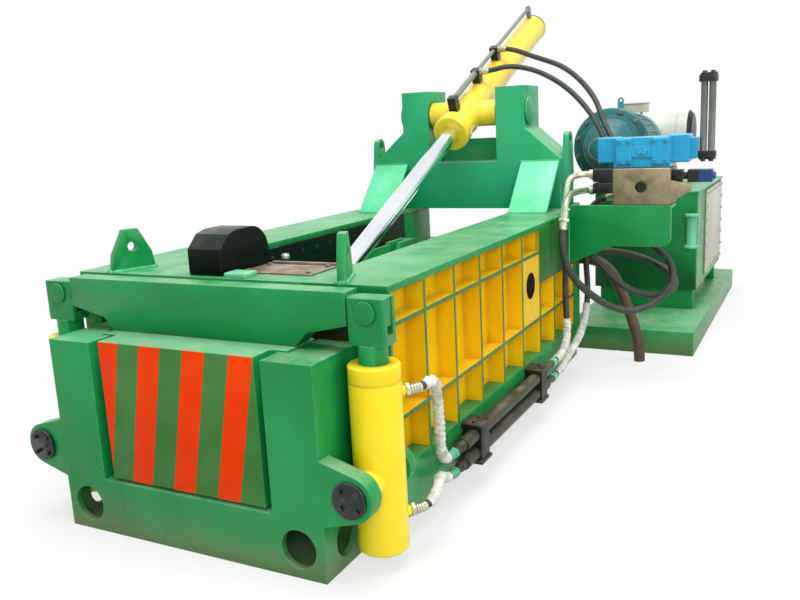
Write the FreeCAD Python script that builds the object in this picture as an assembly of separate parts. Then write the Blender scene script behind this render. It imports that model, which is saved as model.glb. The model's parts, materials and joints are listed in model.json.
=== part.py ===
import FreeCAD, Part

import math
import os

# A hydraulic scrap metal baler: a striped gate that two upright cylinders lift, a press chamber
# between ribbed walls, a hinged press lid under an inclined cylinder, a main ram, and a power unit.
# Millimetres. The origin lies on the ground, in the machine's middle plane, under the gate rods.
# +X is the power unit's side, +Y runs from the gate to the rear, +Z is up.

V = FreeCAD.Vector

# Clearances
RUNNING = 0.05            # radial clearance of a shaft or piston in its bore
SEAT = 0.3                # gap between curved pieces that only rest on each other
SIDE_PLAY = 3.0           # gap beside an eye in its fork
GUIDE_PLAY = 10.0         # gap round the gate in its guides

# Gate frame
FRAME_WIDTH = 1277.0
FRAME_HEIGHT = 819.0
FRAME_FRONT = -220.0
FRAME_DEPTH = 320.0
FRAME_PLATE = 30.0
MOUTH_WIDTH = 838.0
SILL_TOP = 235.0
LIP_DEPTH = 120.0
ACCESS_HOLE_R = 75.0
ACCESS_HOLE_X = 525.0
ACCESS_HOLE_Z = 115.0
SIDE_HOLE_Y = -62.0

# Gate
GATE_PANEL_WIDTH = 762.0
GATE_RECESS = 14.0
GATE_BODY_WIDTH = 910.0
GATE_RISE = 6.0             # the gate's top over the frame's top
GATE_REST = 9.0             # the gate's height over the sill
BEAM_DEPTH = 90.0
BEAM_LOWER = 54.0           # height of the steep nose at each end of the beam's lower chord
BEAM_NOSE = 50.0            # length of that nose
BEAM_SLANT = 38.0           # rise of the underside from the nose to the rod's clevis
BEAM_UPPER = 161.0
TONGUE_DEPTH = 40.0
TONGUE_HEIGHT = 105.0

# Gate cylinders
GATE_CYLINDER_GAP = 21.5    # between the frame's side and the barrels
GATE_BARREL_R = 97.0
GATE_BORE_R = 83.0
GATE_ROD_R = 55.0
GATE_BARREL_BOTTOM = 66.0
GATE_BARREL_DROP = 39.0     # from the frame's top down to the barrels' tops
GATE_GLAND = 60.0
GATE_CAP = 34.0
GATE_PISTON = 60.0
BARREL_GROOVE = 4.0
TRUNNION_Z = 346.0
TRUNNION_R = 45.0
TRUNNION_BOSS_R = 62.0
EAR_THICK = 70.0
EAR_R = 88.0
EAR_FOOT = 125.0
TRUNNION_RING = 50.0
TRUNNION_RING_R = 75.0
CAP_R = 68.0
CAP_THICK = 12.0
CAP_BOLT_R = 9.0
CAP_BOLT_HEIGHT = 10.0
CAP_BOLT_CIRCLE = 48.0
CAP_BOLTS = 4
GATE_PORT_HEIGHTS = (190.0, 660.0)
CLEVIS_HALF_WIDTH = 75.0
CLEVIS_FOOT = 25.0          # heights of the clevis over the gate's top
CLEVIS_FORK = 60.0
CLEVIS_EYE = 144.0
CLEVIS_CREST = 196.0
CLEVIS_PIN_R = 35.0
CLEVIS_PIN_HEAD_R = 42.0
CLEVIS_PIN_HEAD = 8.0

# Side walls and beams
WALL_OUTER = 775.0
CHAMBER_HALF = 398.0
LINER_THICK = 32.0
SKIN_OUTER = 690.0
SKIN_THICK = 15.0
WALL_BOTTOM = 100.0
PANEL_BOTTOM = 316.0
BEAM_TOP = 1038.0
BEAM_FLANGE = 28.0
RIB_PITCH = 294.0
RIB_THICK = 16.0
RIB_COUNT = 7
REAR_RIBS = (2130.0, 2392.0)
CROSS_RIBS = (514.0, 886.0)
WALL_END = 2560.0
PORTHOLE_R = 70.0
PORTHOLE_Y = 1720.0
PORTHOLE_Z = 700.0
SHOULDER_BOTTOM = 710.0
SHOULDER_END = 2392.0
SHOULDER_THICK = 12.0
FRONT_EAR_FOOT = 200.0
FRONT_EAR_THICK = 35.0
FRONT_EAR_LEAN = 12.0       # how far the ear's sides lean in below its chamfers
FRONT_EAR_SIDE = 75.0       # height of those sides
FRONT_EAR_FLAT = 67.0
FRONT_EAR_TOP = 1218.0
FRONT_EAR_EYE_Z = 1142.0
FRONT_EAR_BORE = 20.0
FRONT_EAR_X = 544.0
FRONT_EAR_Y = 192.0
FRONT_EAR_ANGLE = 67.0
SKID_INNER = 560.0
SKID_OUTER = 680.0
BLADE_THICK = 12.0
BLADE_HEIGHT = 110.0
BLADE_GAP = 2.0
BLADE_REAR_GAP = 260.0      # from the blades' ends to the walls' ends
BLADE_BOLT_R = 12.0
BLADE_BOLT_PITCH = 140.0

# Chamber floor and front roof
FLOOR_THICK = 40.0
FLOOR_BEARERS = 6
FLOOR_BEARER_WIDTH = 40.0
ROOF_END = 480.0
ROOF_NOSE = 520.0
ROOF_UNDERSIDE = 640.0
ROOF_LIP = 80.0

# Guard hood
HOOD_LEFT = -170.0
HOOD_RIGHT = 0.0
HOOD_FRONT = 130.0
HOOD_REAR = 470.0
HOOD_FACE_TOP = 1145.0
HOOD_TOP = 1216.0
HOOD_SHEET = 6.0
HOOD_BROW = 120.0           # length of the slope over the hood's face

# Rear crosshead
HEAD_HALF_WIDTH = 700.0
HEAD_DEPTH = 405.0
HEAD_PLATE = 60.0
HEAD_FLANGE = 30.0
HEAD_SADDLE = 800.0
HEAD_PORT_Y = 2780.0
HEAD_PORT_Z = 750.0
CONDUIT_Y = 2905.0
CONDUIT_Z = 680.0

# Lid and its hinge
HINGE_Y = 2430.0
HINGE_Z = 800.0
HINGE_PIN_R = 40.0
HINGE_LUG_R = 65.0
HINGE_LUG_THICK = 40.0
HINGE_LUG_X = 320.0
HINGE_PIN_END = 390.0
LID_FRONT = 540.0
LID_REAR = 2290.0
LID_BOTTOM = 660.0
LID_PLATE = 40.0
LID_HALF_WIDTH = 378.0
LID_RIB_THICK = 20.0
LID_RIB_X = (150.0, 355.0)
LID_RIB_FRONT_Z = 750.0
LID_RIB_REAR_Z = 850.0
LID_RIB_NOSE = 120.0
LID_RIB_FLAT = 500.0
LID_LUG_ROOT = 150.0        # the hinge lugs' hold on the lid plate
ROD_PIN_Y = 980.0
ROD_PIN_Z = 846.0
ROD_PIN_R = 30.0
ROD_EAR_THICK = 30.0
ROD_EAR_R = 104.0
ROD_EAR_FOOT = 330.0
LINK_SLACK = 36.0         # the rod pin's play in the lid's ears, which opens the linkage there

# Lid cylinder and gantry
LID_TRUNNION_Y = 2755.0
LID_TRUNNION_Z = 1655.0
LID_BARREL_R = 100.0
LID_BORE_R = 80.0
LID_ROD_R = 52.0
LID_BARREL_FRONT = 300.0
LID_BARREL_REAR = 1585.0
LID_GLAND = 85.0
LID_GLAND_R = 118.0
LID_PISTON = 90.0
LID_STUB_R = 84.0
LID_STUB_END = 232.0
LID_TRUNNION_R = 60.0
LID_TRUNNION_END = 405.0
LID_EYE_R = 64.0
LID_EYE_LIP = 3.0           # the eye reaches this far past the rod on each side
PORT_RISE = 170.0         # height of the hard pipe above the barrel's axis
PORT_PIPE_R = 14.0
PORT_BLOCK = 56.0
PORT_BLOCKS = (-160.0, 290.0, 690.0)
PORT_PIPE_END = 1540.0
GANTRY_FRONT = 2665.0
GANTRY_DEPTH = 300.0
GANTRY_HALF = 662.0
GANTRY_SHOULDER = 1351.0
GANTRY_NOTCH = 1343.0
GANTRY_BACK_TOP = 1490.0
GANTRY_BACK_THICK = 25.0
GANTRY_TOP = 1813.0
POST_INNER = 239.0
POST_OUTER = 430.0
POST_SLOPE_TOP = 1551.0
GANTRY_EAR_THICK = 35.0
GANTRY_EAR_Y = 2775.0
GANTRY_EAR_R = 50.0
GANTRY_EAR_TOP = 1515.0
GANTRY_EAR_FOOT = 170.0
GANTRY_EAR_BORE = 25.0
GANTRY_EAR_DROP = 160.0     # from the post's shoulder down to the ear's foot
GUSSET_FRONT = 2385.0
GUSSET_INNER = 406.0
GUSSET_OUTER = 653.0
GUSSET_PLATE = 25.0
LID_CAP_R = 86.0
LID_CAP_THICK = 14.0

# Main cylinder and ram
RAM_AXIS_Z = 445.0
RAM_FACE = 1950.0
RAM_FACE_PLATE = 60.0
RAM_LENGTH = 350.0
RAM_HALF_WIDTH = 392.0
RAM_HEIGHT = 400.0
RAM_FLANGE = 40.0
RAM_WEB_HALF = 200.0
RAM_ROD_R = 80.0
RAM_STROKE = 1650.0
MAIN_BARREL_R = 130.0
MAIN_BORE_R = 105.0
MAIN_NOSE_R = 112.0
MAIN_FLANGE_R = 190.0
MAIN_FLANGE = 50.0
MAIN_GLAND = 140.0
MAIN_PISTON = 120.0
MAIN_END = 4640.0
MAIN_CAP = 60.0
SADDLE_SETBACK = 290.0      # from the barrel's end to the saddle
SADDLE_THICK = 80.0
SADDLE_HALF = 220.0
SADDLE_FLANGE = 30.0
SADDLE_WAIST = 120.0        # height where the saddle's slopes meet its cheeks
SADDLE_CHEEK = 30.0

# Power unit
BASE_LEFT = 560.0
BASE_RIGHT = 1418.0
BASE_FRONT = 3129.0
BASE_REAR = 5570.0
BASE_HEIGHT = 163.0
DECK_THICK = 12.0
RAIL_WIDTH = 60.0
BASE_CROSS_RAILS = 4
TANK_LEFT = 600.0
TANK_RIGHT = 1340.0
TANK_FRONT = 3780.0
TANK_REAR = 5200.0
TANK_BOTTOM = 318.0
TANK_TOP = 1040.0
TANK_LID = 12.0
TANK_LID_LIP = 10.0
TANK_FOOT = 70.0
TANK_FOOT_SIDE = 30.0
TANK_FOOT_END = 60.0
TANK_CORNER = 12.0
TANK_APRON = 12.0
TANK_GUSSET = 90.0
COVER_FRONT = 4180.0
COVER_REAR = 5120.0
COVER_BOTTOM = 360.0
COVER_TOP = 1010.0
COVER_THICK = 12.0
COVER_BOLT_R = 10.0
COVER_BOLT_HEIGHT = 8.0
COVER_BOLT_INSET = 22.0
MOTOR_X = 807.0
MOTOR_Z = 1386.0
MOTOR_R = 215.0
MOTOR_FLANGE_R = 264.0
MOTOR_LUG_OFFSET = 63.0     # the lifting lug's place beside the motor's crown
MOTOR_LUG_RISE = 46.0
MOTOR_LUG_R = 20.0
MOTOR_FRONT = 3400.0
MOTOR_BODY = 560.0
MOTOR_COWL = 150.0
MOTOR_FINS = 24
FIN_HEIGHT = 12.0
FIN_THICK = 8.0
FOOT_PLATE = 20.0
STAND_INSET = 60.0
BELL_R = 190.0
BELL_LENGTH = 130.0
PUMP_R = 78.0
PUMP_LENGTH = 210.0
BOX_SETBACK = 260.0
BOX_OFFSET = 20.0
BOX_LENGTH = 200.0
BOX_WIDTH = 150.0
BOX_HEIGHT = 55.0
SECOND_Y = 4300.0
SECOND_Z = 1445.0
SECOND_R = 158.0
SECOND_LEFT = 830.0
SECOND_BODY = 290.0
SECOND_COWL = 110.0

# Valve group
BRACKET_FRONT = 2400.0
BRACKET_THICK = 25.0
BRACKET_RIGHT = 1379.0
BRACKET_FOOT_Z = 727.0
BRACKET_BELLY_X = 1055.0
BRACKET_BELLY_Z = 844.0
BRACKET_CORNER = 55.0
BRACKET_SHELF = 130.0
BRACKET_FOOT = 14.0
FOOT_PORT_SETBACK = 100.0
FOOT_PORT_Z = 790.0
MANIFOLD_LEFT = 1048.0
MANIFOLD_RIGHT = 1372.0
MANIFOLD_BOTTOM = 1085.0
MANIFOLD_TOP = 1296.0
MANIFOLD_DEPTH = 240.0
MANIFOLD_PORT_R = 24.0
HOSE_PORT_SETBACK = 200.0
OUTER_PORT_X = 1160.0
SUPPLY_PORT_Z = 1119.0
VALVE_LEFT = 951.0
VALVE_RIGHT = 1506.0
VALVE_SETBACK = 30.0
VALVE_DEPTH = 160.0
VALVE_HEIGHT = 182.0
KNOB_INSET = 148.0
LID_PORT_X = 1010.0
LID_PORT_HEIGHTS = (1370.0, 1440.0)
SOLENOID_HALF = 36.0
SOLENOID_STEM_R = 20.0
SOLENOID_END = 1605.0
SOLENOID_Z = 1245.0
SOLENOID_SETBACK = 80.0
TUBE_R = 19.0
TUBE_PITCH = 43.0
TUBE_GAP = 4.0              # between the valve and the first tube
TUBE_BOTTOM = 1345.0
TUBE_TOP = 1792.0
TUBE_CLAMP = 36.0
RETURN_X = 1310.0
RETURN_Y = 3715.0
RETURN_R = 34.0
RETURN_BOTTOM = 640.0
RETURN_TOP = 884.0
ELBOW_R = 18.0
ELBOW_SETBACK = 50.0
BLOCK_LENGTH = 120.0        # the two valve blocks between the manifold and the elbows
BLOCK_HALF = 33.0
BLOCK_HEIGHTS = ((1153.0, 1213.0), (1219.0, 1296.0))
WEDGE_REACH = 110.0         # the port plate at the manifold's right end
WEDGE_THICK = 34.0
WEDGE_INSET = 8.0
WEDGE_RISE = 78.0           # heights of its corners from the manifold's bottom and top
WEDGE_FALL = 93.0
WEDGE_DROP = 70.0

# Pipes along the right wall
SIDE_PIPE_X = 830.0
SIDE_PIPE_HEIGHTS = (165.0, 250.0)
SIDE_PIPE_R = 30.0
SIDE_PIPE_FRONT = 600.0
SIDE_PIPE_REAR = 1760.0
FRONT_FITTING = 90.0
REAR_FITTING = 120.0
FITTING_R = 23.0
CLAMP_BOTTOM = 120.0
CLAMP_TOP = 300.0
CLAMP_OUTER = 868.0
CLAMP_LENGTH = 90.0
CLAMP_STARTS = (725.0, 1590.0)

# Hoses
PRESS_HOSE_R = 16.0
SUPPLY_HOSE_R = 18.0
LOOP_HOSE_R = 21.0
LID_HOSE_R = 17.0
CONDUIT_R = 35.0
PORT_STUB = 14.0

# Worked out
FRAME_BACK = FRAME_FRONT + FRAME_DEPTH
GATE_CYLINDER_X = FRAME_WIDTH / 2 + GATE_CYLINDER_GAP + GATE_BARREL_R
GATE_BOTTOM = SILL_TOP + GATE_REST
GATE_TOP = FRAME_HEIGHT + GATE_RISE
GATE_BARREL_TOP = FRAME_HEIGHT - GATE_BARREL_DROP
CLEVIS_BOTTOM = GATE_TOP + CLEVIS_FOOT
CLEVIS_FORK_BOTTOM = GATE_TOP + CLEVIS_FORK
CLEVIS_PIN_Z = GATE_TOP + CLEVIS_EYE
CLEVIS_TOP = GATE_TOP + CLEVIS_CREST
WALL_FRONT = FRAME_BACK
FOOT_PORT_Y = BRACKET_FRONT + FOOT_PORT_SETBACK
HOSE_PORT_Y = BRACKET_FRONT + HOSE_PORT_SETBACK
VALVE_FRONT = BRACKET_FRONT + VALVE_SETBACK
SOLENOID_Y = BRACKET_FRONT + SOLENOID_SETBACK
ELBOW_Y = BRACKET_FRONT + ELBOW_SETBACK
LID_EYE_HALF = LID_ROD_R + LID_EYE_LIP
LINK_SLOPE = math.atan2(LID_TRUNNION_Z - ROD_PIN_Z, LID_TRUNNION_Y - ROD_PIN_Y)
LINK_LENGTH = math.hypot(LID_TRUNNION_Z - ROD_PIN_Z, LID_TRUNNION_Y - ROD_PIN_Y)
HEAD_END = WALL_END + HEAD_DEPTH
SADDLE_Y = MAIN_END - SADDLE_SETBACK
RIB_YS = [WALL_FRONT + number * RIB_PITCH for number in range(RIB_COUNT)]


def place(axis, a, b, along):
    """A point from its two coordinates across an axis and its place along it."""
    if axis == "X":
        return V(along, a, b)
    if axis == "Y":
        return V(a, along, b)
    return V(a, b, along)


def box(x, y, z):
    return Part.makeBox(x[1] - x[0], y[1] - y[0], z[1] - z[0], V(x[0], y[0], z[0]))


def bar(start, direction, radius, length):
    """A round bar."""
    return Part.makeCylinder(radius, length, V(*start), V(*direction))


def prism(steps, axis, low, high):
    """Extrudes an outline along an axis. A step is a point, or a pair of points for an arc that
    runs through the first of them to the second."""
    start = place(axis, *steps[0], low)
    here = start
    edges = []
    for step in list(steps[1:]) + [steps[0]]:
        if isinstance(step[0], tuple):
            middle = place(axis, *step[0], low)
            there = place(axis, *step[1], low)
            edges.append(Part.Arc(here, middle, there).toShape())
        else:
            there = place(axis, *step, low)
            edges.append(Part.makeLine(here, there))
        here = there
    return Part.Face(Part.Wire(edges)).extrude(place(axis, 0, 0, high - low))


def tangent_point(point, centre, radius, side):
    """Where a line from a point touches a circle, on its left side (1) or right side (-1)."""
    across = centre[0] - point[0]
    up = centre[1] - point[1]
    distance = math.hypot(across, up)
    angle = math.atan2(up, across) + side * math.asin(radius / distance)
    reach = math.sqrt(distance ** 2 - radius ** 2)
    return (point[0] + reach * math.cos(angle), point[1] + reach * math.sin(angle))


def eye_plate(foot_a, foot_b, centre, radius, axis, low, high, bore=0.0):
    """A plate that narrows from a straight foot to a round end, with a bore in that end."""
    middle = ((foot_a[0] + foot_b[0]) / 2, (foot_a[1] + foot_b[1]) / 2)
    ahead = (centre[0] - middle[0], centre[1] - middle[1])
    reach = math.hypot(*ahead)
    tip = (centre[0] + ahead[0] / reach * radius, centre[1] + ahead[1] / reach * radius)
    turn = ahead[0] * (foot_a[1] - middle[1]) - ahead[1] * (foot_a[0] - middle[0])
    side = 1 if turn > 0 else -1
    touch_a = tangent_point(foot_a, centre, radius, side)
    touch_b = tangent_point(foot_b, centre, radius, -side)
    plate = prism([foot_a, touch_a, (tip, touch_b), foot_b], axis, low, high)
    if bore:
        hole = Part.makeCylinder(
            bore, high - low + 2, place(axis, *centre, low - 1), place(axis, 0, 0, 1)
        )
        plate = plate.cut(hole)
    return plate


def turned(steps, origin, direction):
    """A turned piece: an outline of places along the axis and radii, spun about the axis."""
    points = [V(along, radius, 0) for along, radius in steps]
    face = Part.Face(Part.makePolygon(points + points[:1]))
    shape = face.revolve(V(0, 0, 0), V(1, 0, 0), 360)
    turn = FreeCAD.Rotation(V(1, 0, 0), V(*direction))
    shape.Placement = FreeCAD.Placement(V(*origin), turn)
    return shape


def joined(first, *others):
    return first.multiFuse(list(others)).removeSplitter()


def mirrored(shape):
    return shape.mirror(V(0, 0, 0), V(1, 0, 0))


def both_sides(shape):
    """A piece and its mirror image on the machine's other side, as two solids."""
    return Part.makeCompound([shape, mirrored(shape)])


def ring_places(count, radius, first=0.0):
    for number in range(count):
        angle = math.radians(first + 360.0 * number / count)
        yield radius * math.cos(angle), radius * math.sin(angle)


def tube(name, points, radius):
    """A hose: straight runs joined by tangent arcs that are as large as the runs allow."""
    points = [V(*point) for point in points]
    edges = []
    here = points[0]
    radii = []
    for before, corner, after in zip(points, points[1:], points[2:]):
        back = (before - corner).normalize()
        onward = (after - corner).normalize()
        half_turn = (math.pi - back.getAngle(onward)) / 2
        shorter = min((before - corner).Length, (after - corner).Length)
        setback = 0.45 * shorter
        bend = setback / math.tan(half_turn)
        radii.append(bend)
        start = corner + back * setback
        end = corner + onward * setback
        inward = (back + onward).normalize()
        centre = corner + inward * (bend / math.cos(half_turn))
        middle = centre - inward * bend
        edges.append(Part.LineSegment(here, start).toShape())
        edges.append(Part.Arc(start, middle, end).toShape())
        here = end
    edges.append(Part.LineSegment(here, points[-1]).toShape())
    path = Part.Wire(edges)
    ring = Part.Circle(points[0], points[1] - points[0], radius).toShape()
    shape = path.makePipeShell([Part.Wire(ring)], True, False)
    expected = math.pi * radius ** 2 * path.Length
    print(
        name,
        "length", round(path.Length),
        "least bend", round(min(radii) / (2 * radius), 1), "diameters",
        "volume", round(shape.Volume / expected, 3),
    )
    return shape


def along_link(distance, rise=0.0, side=0.0):
    """A point by its distance behind the lid cylinder's trunnions, along that cylinder's axis."""
    y = LID_TRUNNION_Y + distance * math.cos(LINK_SLOPE) - rise * math.sin(LINK_SLOPE)
    z = LID_TRUNNION_Z + distance * math.sin(LINK_SLOPE) + rise * math.cos(LINK_SLOPE)
    return (side, y, z)




def laid_on_link(shape):
    """Carries a piece modelled along +Y at the origin to the lid cylinder's axis."""
    tilt = FreeCAD.Rotation(V(1, 0, 0), math.degrees(LINK_SLOPE))
    shape.Placement = FreeCAD.Placement(V(0, LID_TRUNNION_Y, LID_TRUNNION_Z), tilt)
    return shape


# Gate frame and gate

def gate_frame():
    half = FRAME_WIDTH / 2
    mouth = MOUTH_WIDTH / 2
    guide = GATE_BODY_WIDTH / 2 + GUIDE_PLAY
    outer = box((-half, half), (FRAME_FRONT, FRAME_BACK), (0, FRAME_HEIGHT))
    front_gap = box((-mouth, mouth), (FRAME_FRONT - 1, FRAME_BACK + 1), (SILL_TOP, FRAME_HEIGHT + 1))
    guide_gap = box(
        (-guide, guide), (FRAME_FRONT + LIP_DEPTH, FRAME_BACK + 1), (SILL_TOP, FRAME_HEIGHT + 1)
    )
    inside_y = (FRAME_FRONT + FRAME_PLATE, FRAME_BACK - FRAME_PLATE)
    leg = (guide + FRAME_PLATE, half - FRAME_PLATE)
    legs = [
        box(leg, inside_y, (FRAME_PLATE, FRAME_HEIGHT - FRAME_PLATE)),
        box((-leg[1], -leg[0]), inside_y, (FRAME_PLATE, FRAME_HEIGHT - FRAME_PLATE)),
    ]
    sill = box((-leg[1], leg[1]), inside_y, (FRAME_PLATE, SILL_TOP - FRAME_PLATE))
    holes = []
    for side in (-1, 1):
        holes.append(
            bar((side * ACCESS_HOLE_X, FRAME_FRONT - 1, ACCESS_HOLE_Z), (0, 1, 0),
                ACCESS_HOLE_R, FRAME_PLATE + 2)
        )
        holes.append(
            bar((side * (half + 1), SIDE_HOLE_Y, ACCESS_HOLE_Z), (-side, 0, 0),
                ACCESS_HOLE_R, FRAME_PLATE + 2)
        )
    frame = outer.cut([front_gap, guide_gap, sill] + legs + holes)
    ear = eye_plate(
        (half, TRUNNION_Z + EAR_FOOT), (half, TRUNNION_Z - EAR_FOOT),
        (GATE_CYLINDER_X, TRUNNION_Z), EAR_R, "Y",
        FRAME_FRONT, FRAME_FRONT + EAR_THICK, TRUNNION_R + RUNNING,
    )
    return joined(frame, ear, mirrored(ear))


def trunnion_bearings():
    centre = (GATE_CYLINDER_X, WALL_FRONT + SEAT, TRUNNION_Z)
    ring = bar(centre, (0, 1, 0), TRUNNION_RING_R, TRUNNION_RING)
    return both_sides(ring.cut(bar(centre, (0, 1, 0), TRUNNION_R + RUNNING, TRUNNION_RING)))


def trunnion_caps():
    cap = bar((GATE_CYLINDER_X, FRAME_FRONT, TRUNNION_Z), (0, -1, 0), CAP_R, CAP_THICK)
    nipple = bar((GATE_CYLINDER_X - 25, FRAME_FRONT - CAP_THICK, TRUNNION_Z), (0, -1, 0), 9, 8)
    return both_sides(joined(cap, nipple))


def trunnion_cap_bolts():
    heads = []
    for across, up in ring_places(CAP_BOLTS, CAP_BOLT_CIRCLE, 45):
        for side in (-1, 1):
            start = (side * GATE_CYLINDER_X + across, FRAME_FRONT - CAP_THICK, TRUNNION_Z + up)
            heads.append(bar(start, (0, -1, 0), CAP_BOLT_R, CAP_BOLT_HEIGHT))
    return Part.makeCompound(heads)


def gate_cylinder():
    top = GATE_BARREL_TOP
    barrel = turned(
        [
            (GATE_BARREL_BOTTOM, 0),
            (GATE_BARREL_BOTTOM, GATE_BARREL_R - 8),
            (GATE_BARREL_BOTTOM + 8, GATE_BARREL_R),
            (top - GATE_GLAND - 8, GATE_BARREL_R),
            (top - GATE_GLAND - 8, GATE_BARREL_R - BARREL_GROOVE),
            (top - GATE_GLAND, GATE_BARREL_R - BARREL_GROOVE),
            (top - GATE_GLAND, GATE_BARREL_R),
            (top - 6, GATE_BARREL_R),
            (top, GATE_BARREL_R - 6),
            (top, GATE_ROD_R + RUNNING),
            (top - GATE_GLAND, GATE_ROD_R + RUNNING),
            (top - GATE_GLAND, GATE_BORE_R),
            (GATE_BARREL_BOTTOM + GATE_CAP, GATE_BORE_R),
            (GATE_BARREL_BOTTOM + GATE_CAP, 0),
        ],
        (GATE_CYLINDER_X, 0, 0), (0, 0, 1),
    )
    bore_bottom = GATE_BARREL_BOTTOM + GATE_CAP
    bore = bar(
        (GATE_CYLINDER_X, 0, bore_bottom), (0, 0, 1), GATE_BORE_R, top - GATE_GLAND - bore_bottom
    )
    front = FRAME_FRONT + 2
    back = WALL_FRONT + TRUNNION_RING
    pin = bar((GATE_CYLINDER_X, front, TRUNNION_Z), (0, 1, 0), TRUNNION_R, back - front)
    boss_front = FRAME_FRONT + EAR_THICK + SIDE_PLAY
    boss = bar(
        (GATE_CYLINDER_X, boss_front, TRUNNION_Z), (0, 1, 0), TRUNNION_BOSS_R, -boss_front
    )
    ports = []
    for height in GATE_PORT_HEIGHTS:
        start = (GATE_CYLINDER_X, 0, height)
        ports.append(bar(start, (1, 1, 0), PRESS_HOSE_R + 4, GATE_BARREL_R + PORT_STUB))
    return joined(barrel, joined(pin, boss, *ports).cut(bore))


def gate_slab():
    panel = GATE_PANEL_WIDTH / 2
    body = GATE_BODY_WIDTH / 2
    front = FRAME_FRONT + GATE_RECESS
    shoulder = FRAME_FRONT + LIP_DEPTH + GUIDE_PLAY / 2
    back = FRAME_BACK - GUIDE_PLAY
    outline = [
        (-panel, front), (panel, front), (panel, shoulder), (body, shoulder),
        (body, back), (-body, back), (-body, shoulder), (-panel, shoulder),
    ]
    return prism(outline, "Z", GATE_BOTTOM, GATE_TOP)


def gate_crossbeam():
    half = BEAM_DEPTH / 2
    chord = GATE_BODY_WIDTH / 2
    neck = GATE_CYLINDER_X - CLEVIS_HALF_WIDTH - SIDE_PLAY
    rise = GATE_TOP + BEAM_LOWER
    top = rise + BEAM_UPPER
    nose = chord + BEAM_NOSE
    outline = [
        (-chord, GATE_TOP), (chord, GATE_TOP), (nose, rise), (neck, rise + BEAM_SLANT),
        (neck, top), (-neck, top), (-neck, rise + BEAM_SLANT), (-nose, rise),
    ]
    beam = prism(outline, "Y", -half, half)
    tongue_low = CLEVIS_PIN_Z - TONGUE_HEIGHT / 2
    tongue_end = GATE_CYLINDER_X + CLEVIS_HALF_WIDTH - 4
    tongue = box(
        (-tongue_end, tongue_end), (-TONGUE_DEPTH / 2, TONGUE_DEPTH / 2),
        (tongue_low, tongue_low + TONGUE_HEIGHT),
    )
    beam = joined(beam, tongue)
    for side in (-1, 1):
        hole = bar(
            (side * GATE_CYLINDER_X, -half, CLEVIS_PIN_Z), (0, 1, 0),
            CLEVIS_PIN_R + RUNNING, BEAM_DEPTH,
        )
        beam = beam.cut(hole)
    return beam


def gate_rod():
    half = BEAM_DEPTH / 2
    bottom = GATE_BARREL_BOTTOM + GATE_CAP + 5
    rod = turned(
        [
            (bottom, 0),
            (bottom, GATE_BORE_R - RUNNING),
            (bottom + GATE_PISTON, GATE_BORE_R - RUNNING),
            (bottom + GATE_PISTON, GATE_ROD_R),
            (CLEVIS_BOTTOM, GATE_ROD_R),
            (CLEVIS_BOTTOM, 0),
        ],
        (GATE_CYLINDER_X, 0, 0), (0, 0, 1),
    )
    width = CLEVIS_HALF_WIDTH
    head = box(
        (GATE_CYLINDER_X - width, GATE_CYLINDER_X + width), (-half, half),
        (CLEVIS_BOTTOM, CLEVIS_TOP),
    )
    fork = TONGUE_DEPTH / 2 + SIDE_PLAY / 3
    slot = box(
        (GATE_CYLINDER_X - width - 1, GATE_CYLINDER_X + width + 1), (-fork, fork),
        (CLEVIS_FORK_BOTTOM, CLEVIS_TOP + 1),
    )
    hole = bar(
        (GATE_CYLINDER_X, -half - 1, CLEVIS_PIN_Z), (0, 1, 0), CLEVIS_PIN_R + RUNNING,
        BEAM_DEPTH + 2,
    )
    edges = [
        edge for edge in head.Edges
        if abs(edge.BoundBox.ZLength) > 1 and abs(edge.BoundBox.XLength) < 1
    ]
    head = head.makeChamfer(6, edges)
    return joined(rod, head.cut([slot, hole]))


def clevis_pins():
    half = BEAM_DEPTH / 2 + SEAT
    shank = bar((GATE_CYLINDER_X, -half, CLEVIS_PIN_Z), (0, 1, 0), CLEVIS_PIN_R, 2 * half)
    front = bar(
        (GATE_CYLINDER_X, -half, CLEVIS_PIN_Z), (0, -1, 0), CLEVIS_PIN_HEAD_R, CLEVIS_PIN_HEAD
    )
    back = bar(
        (GATE_CYLINDER_X, half, CLEVIS_PIN_Z), (0, 1, 0), CLEVIS_PIN_HEAD_R, CLEVIS_PIN_HEAD
    )
    return both_sides(joined(shank, front, back))


# Press body

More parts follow.
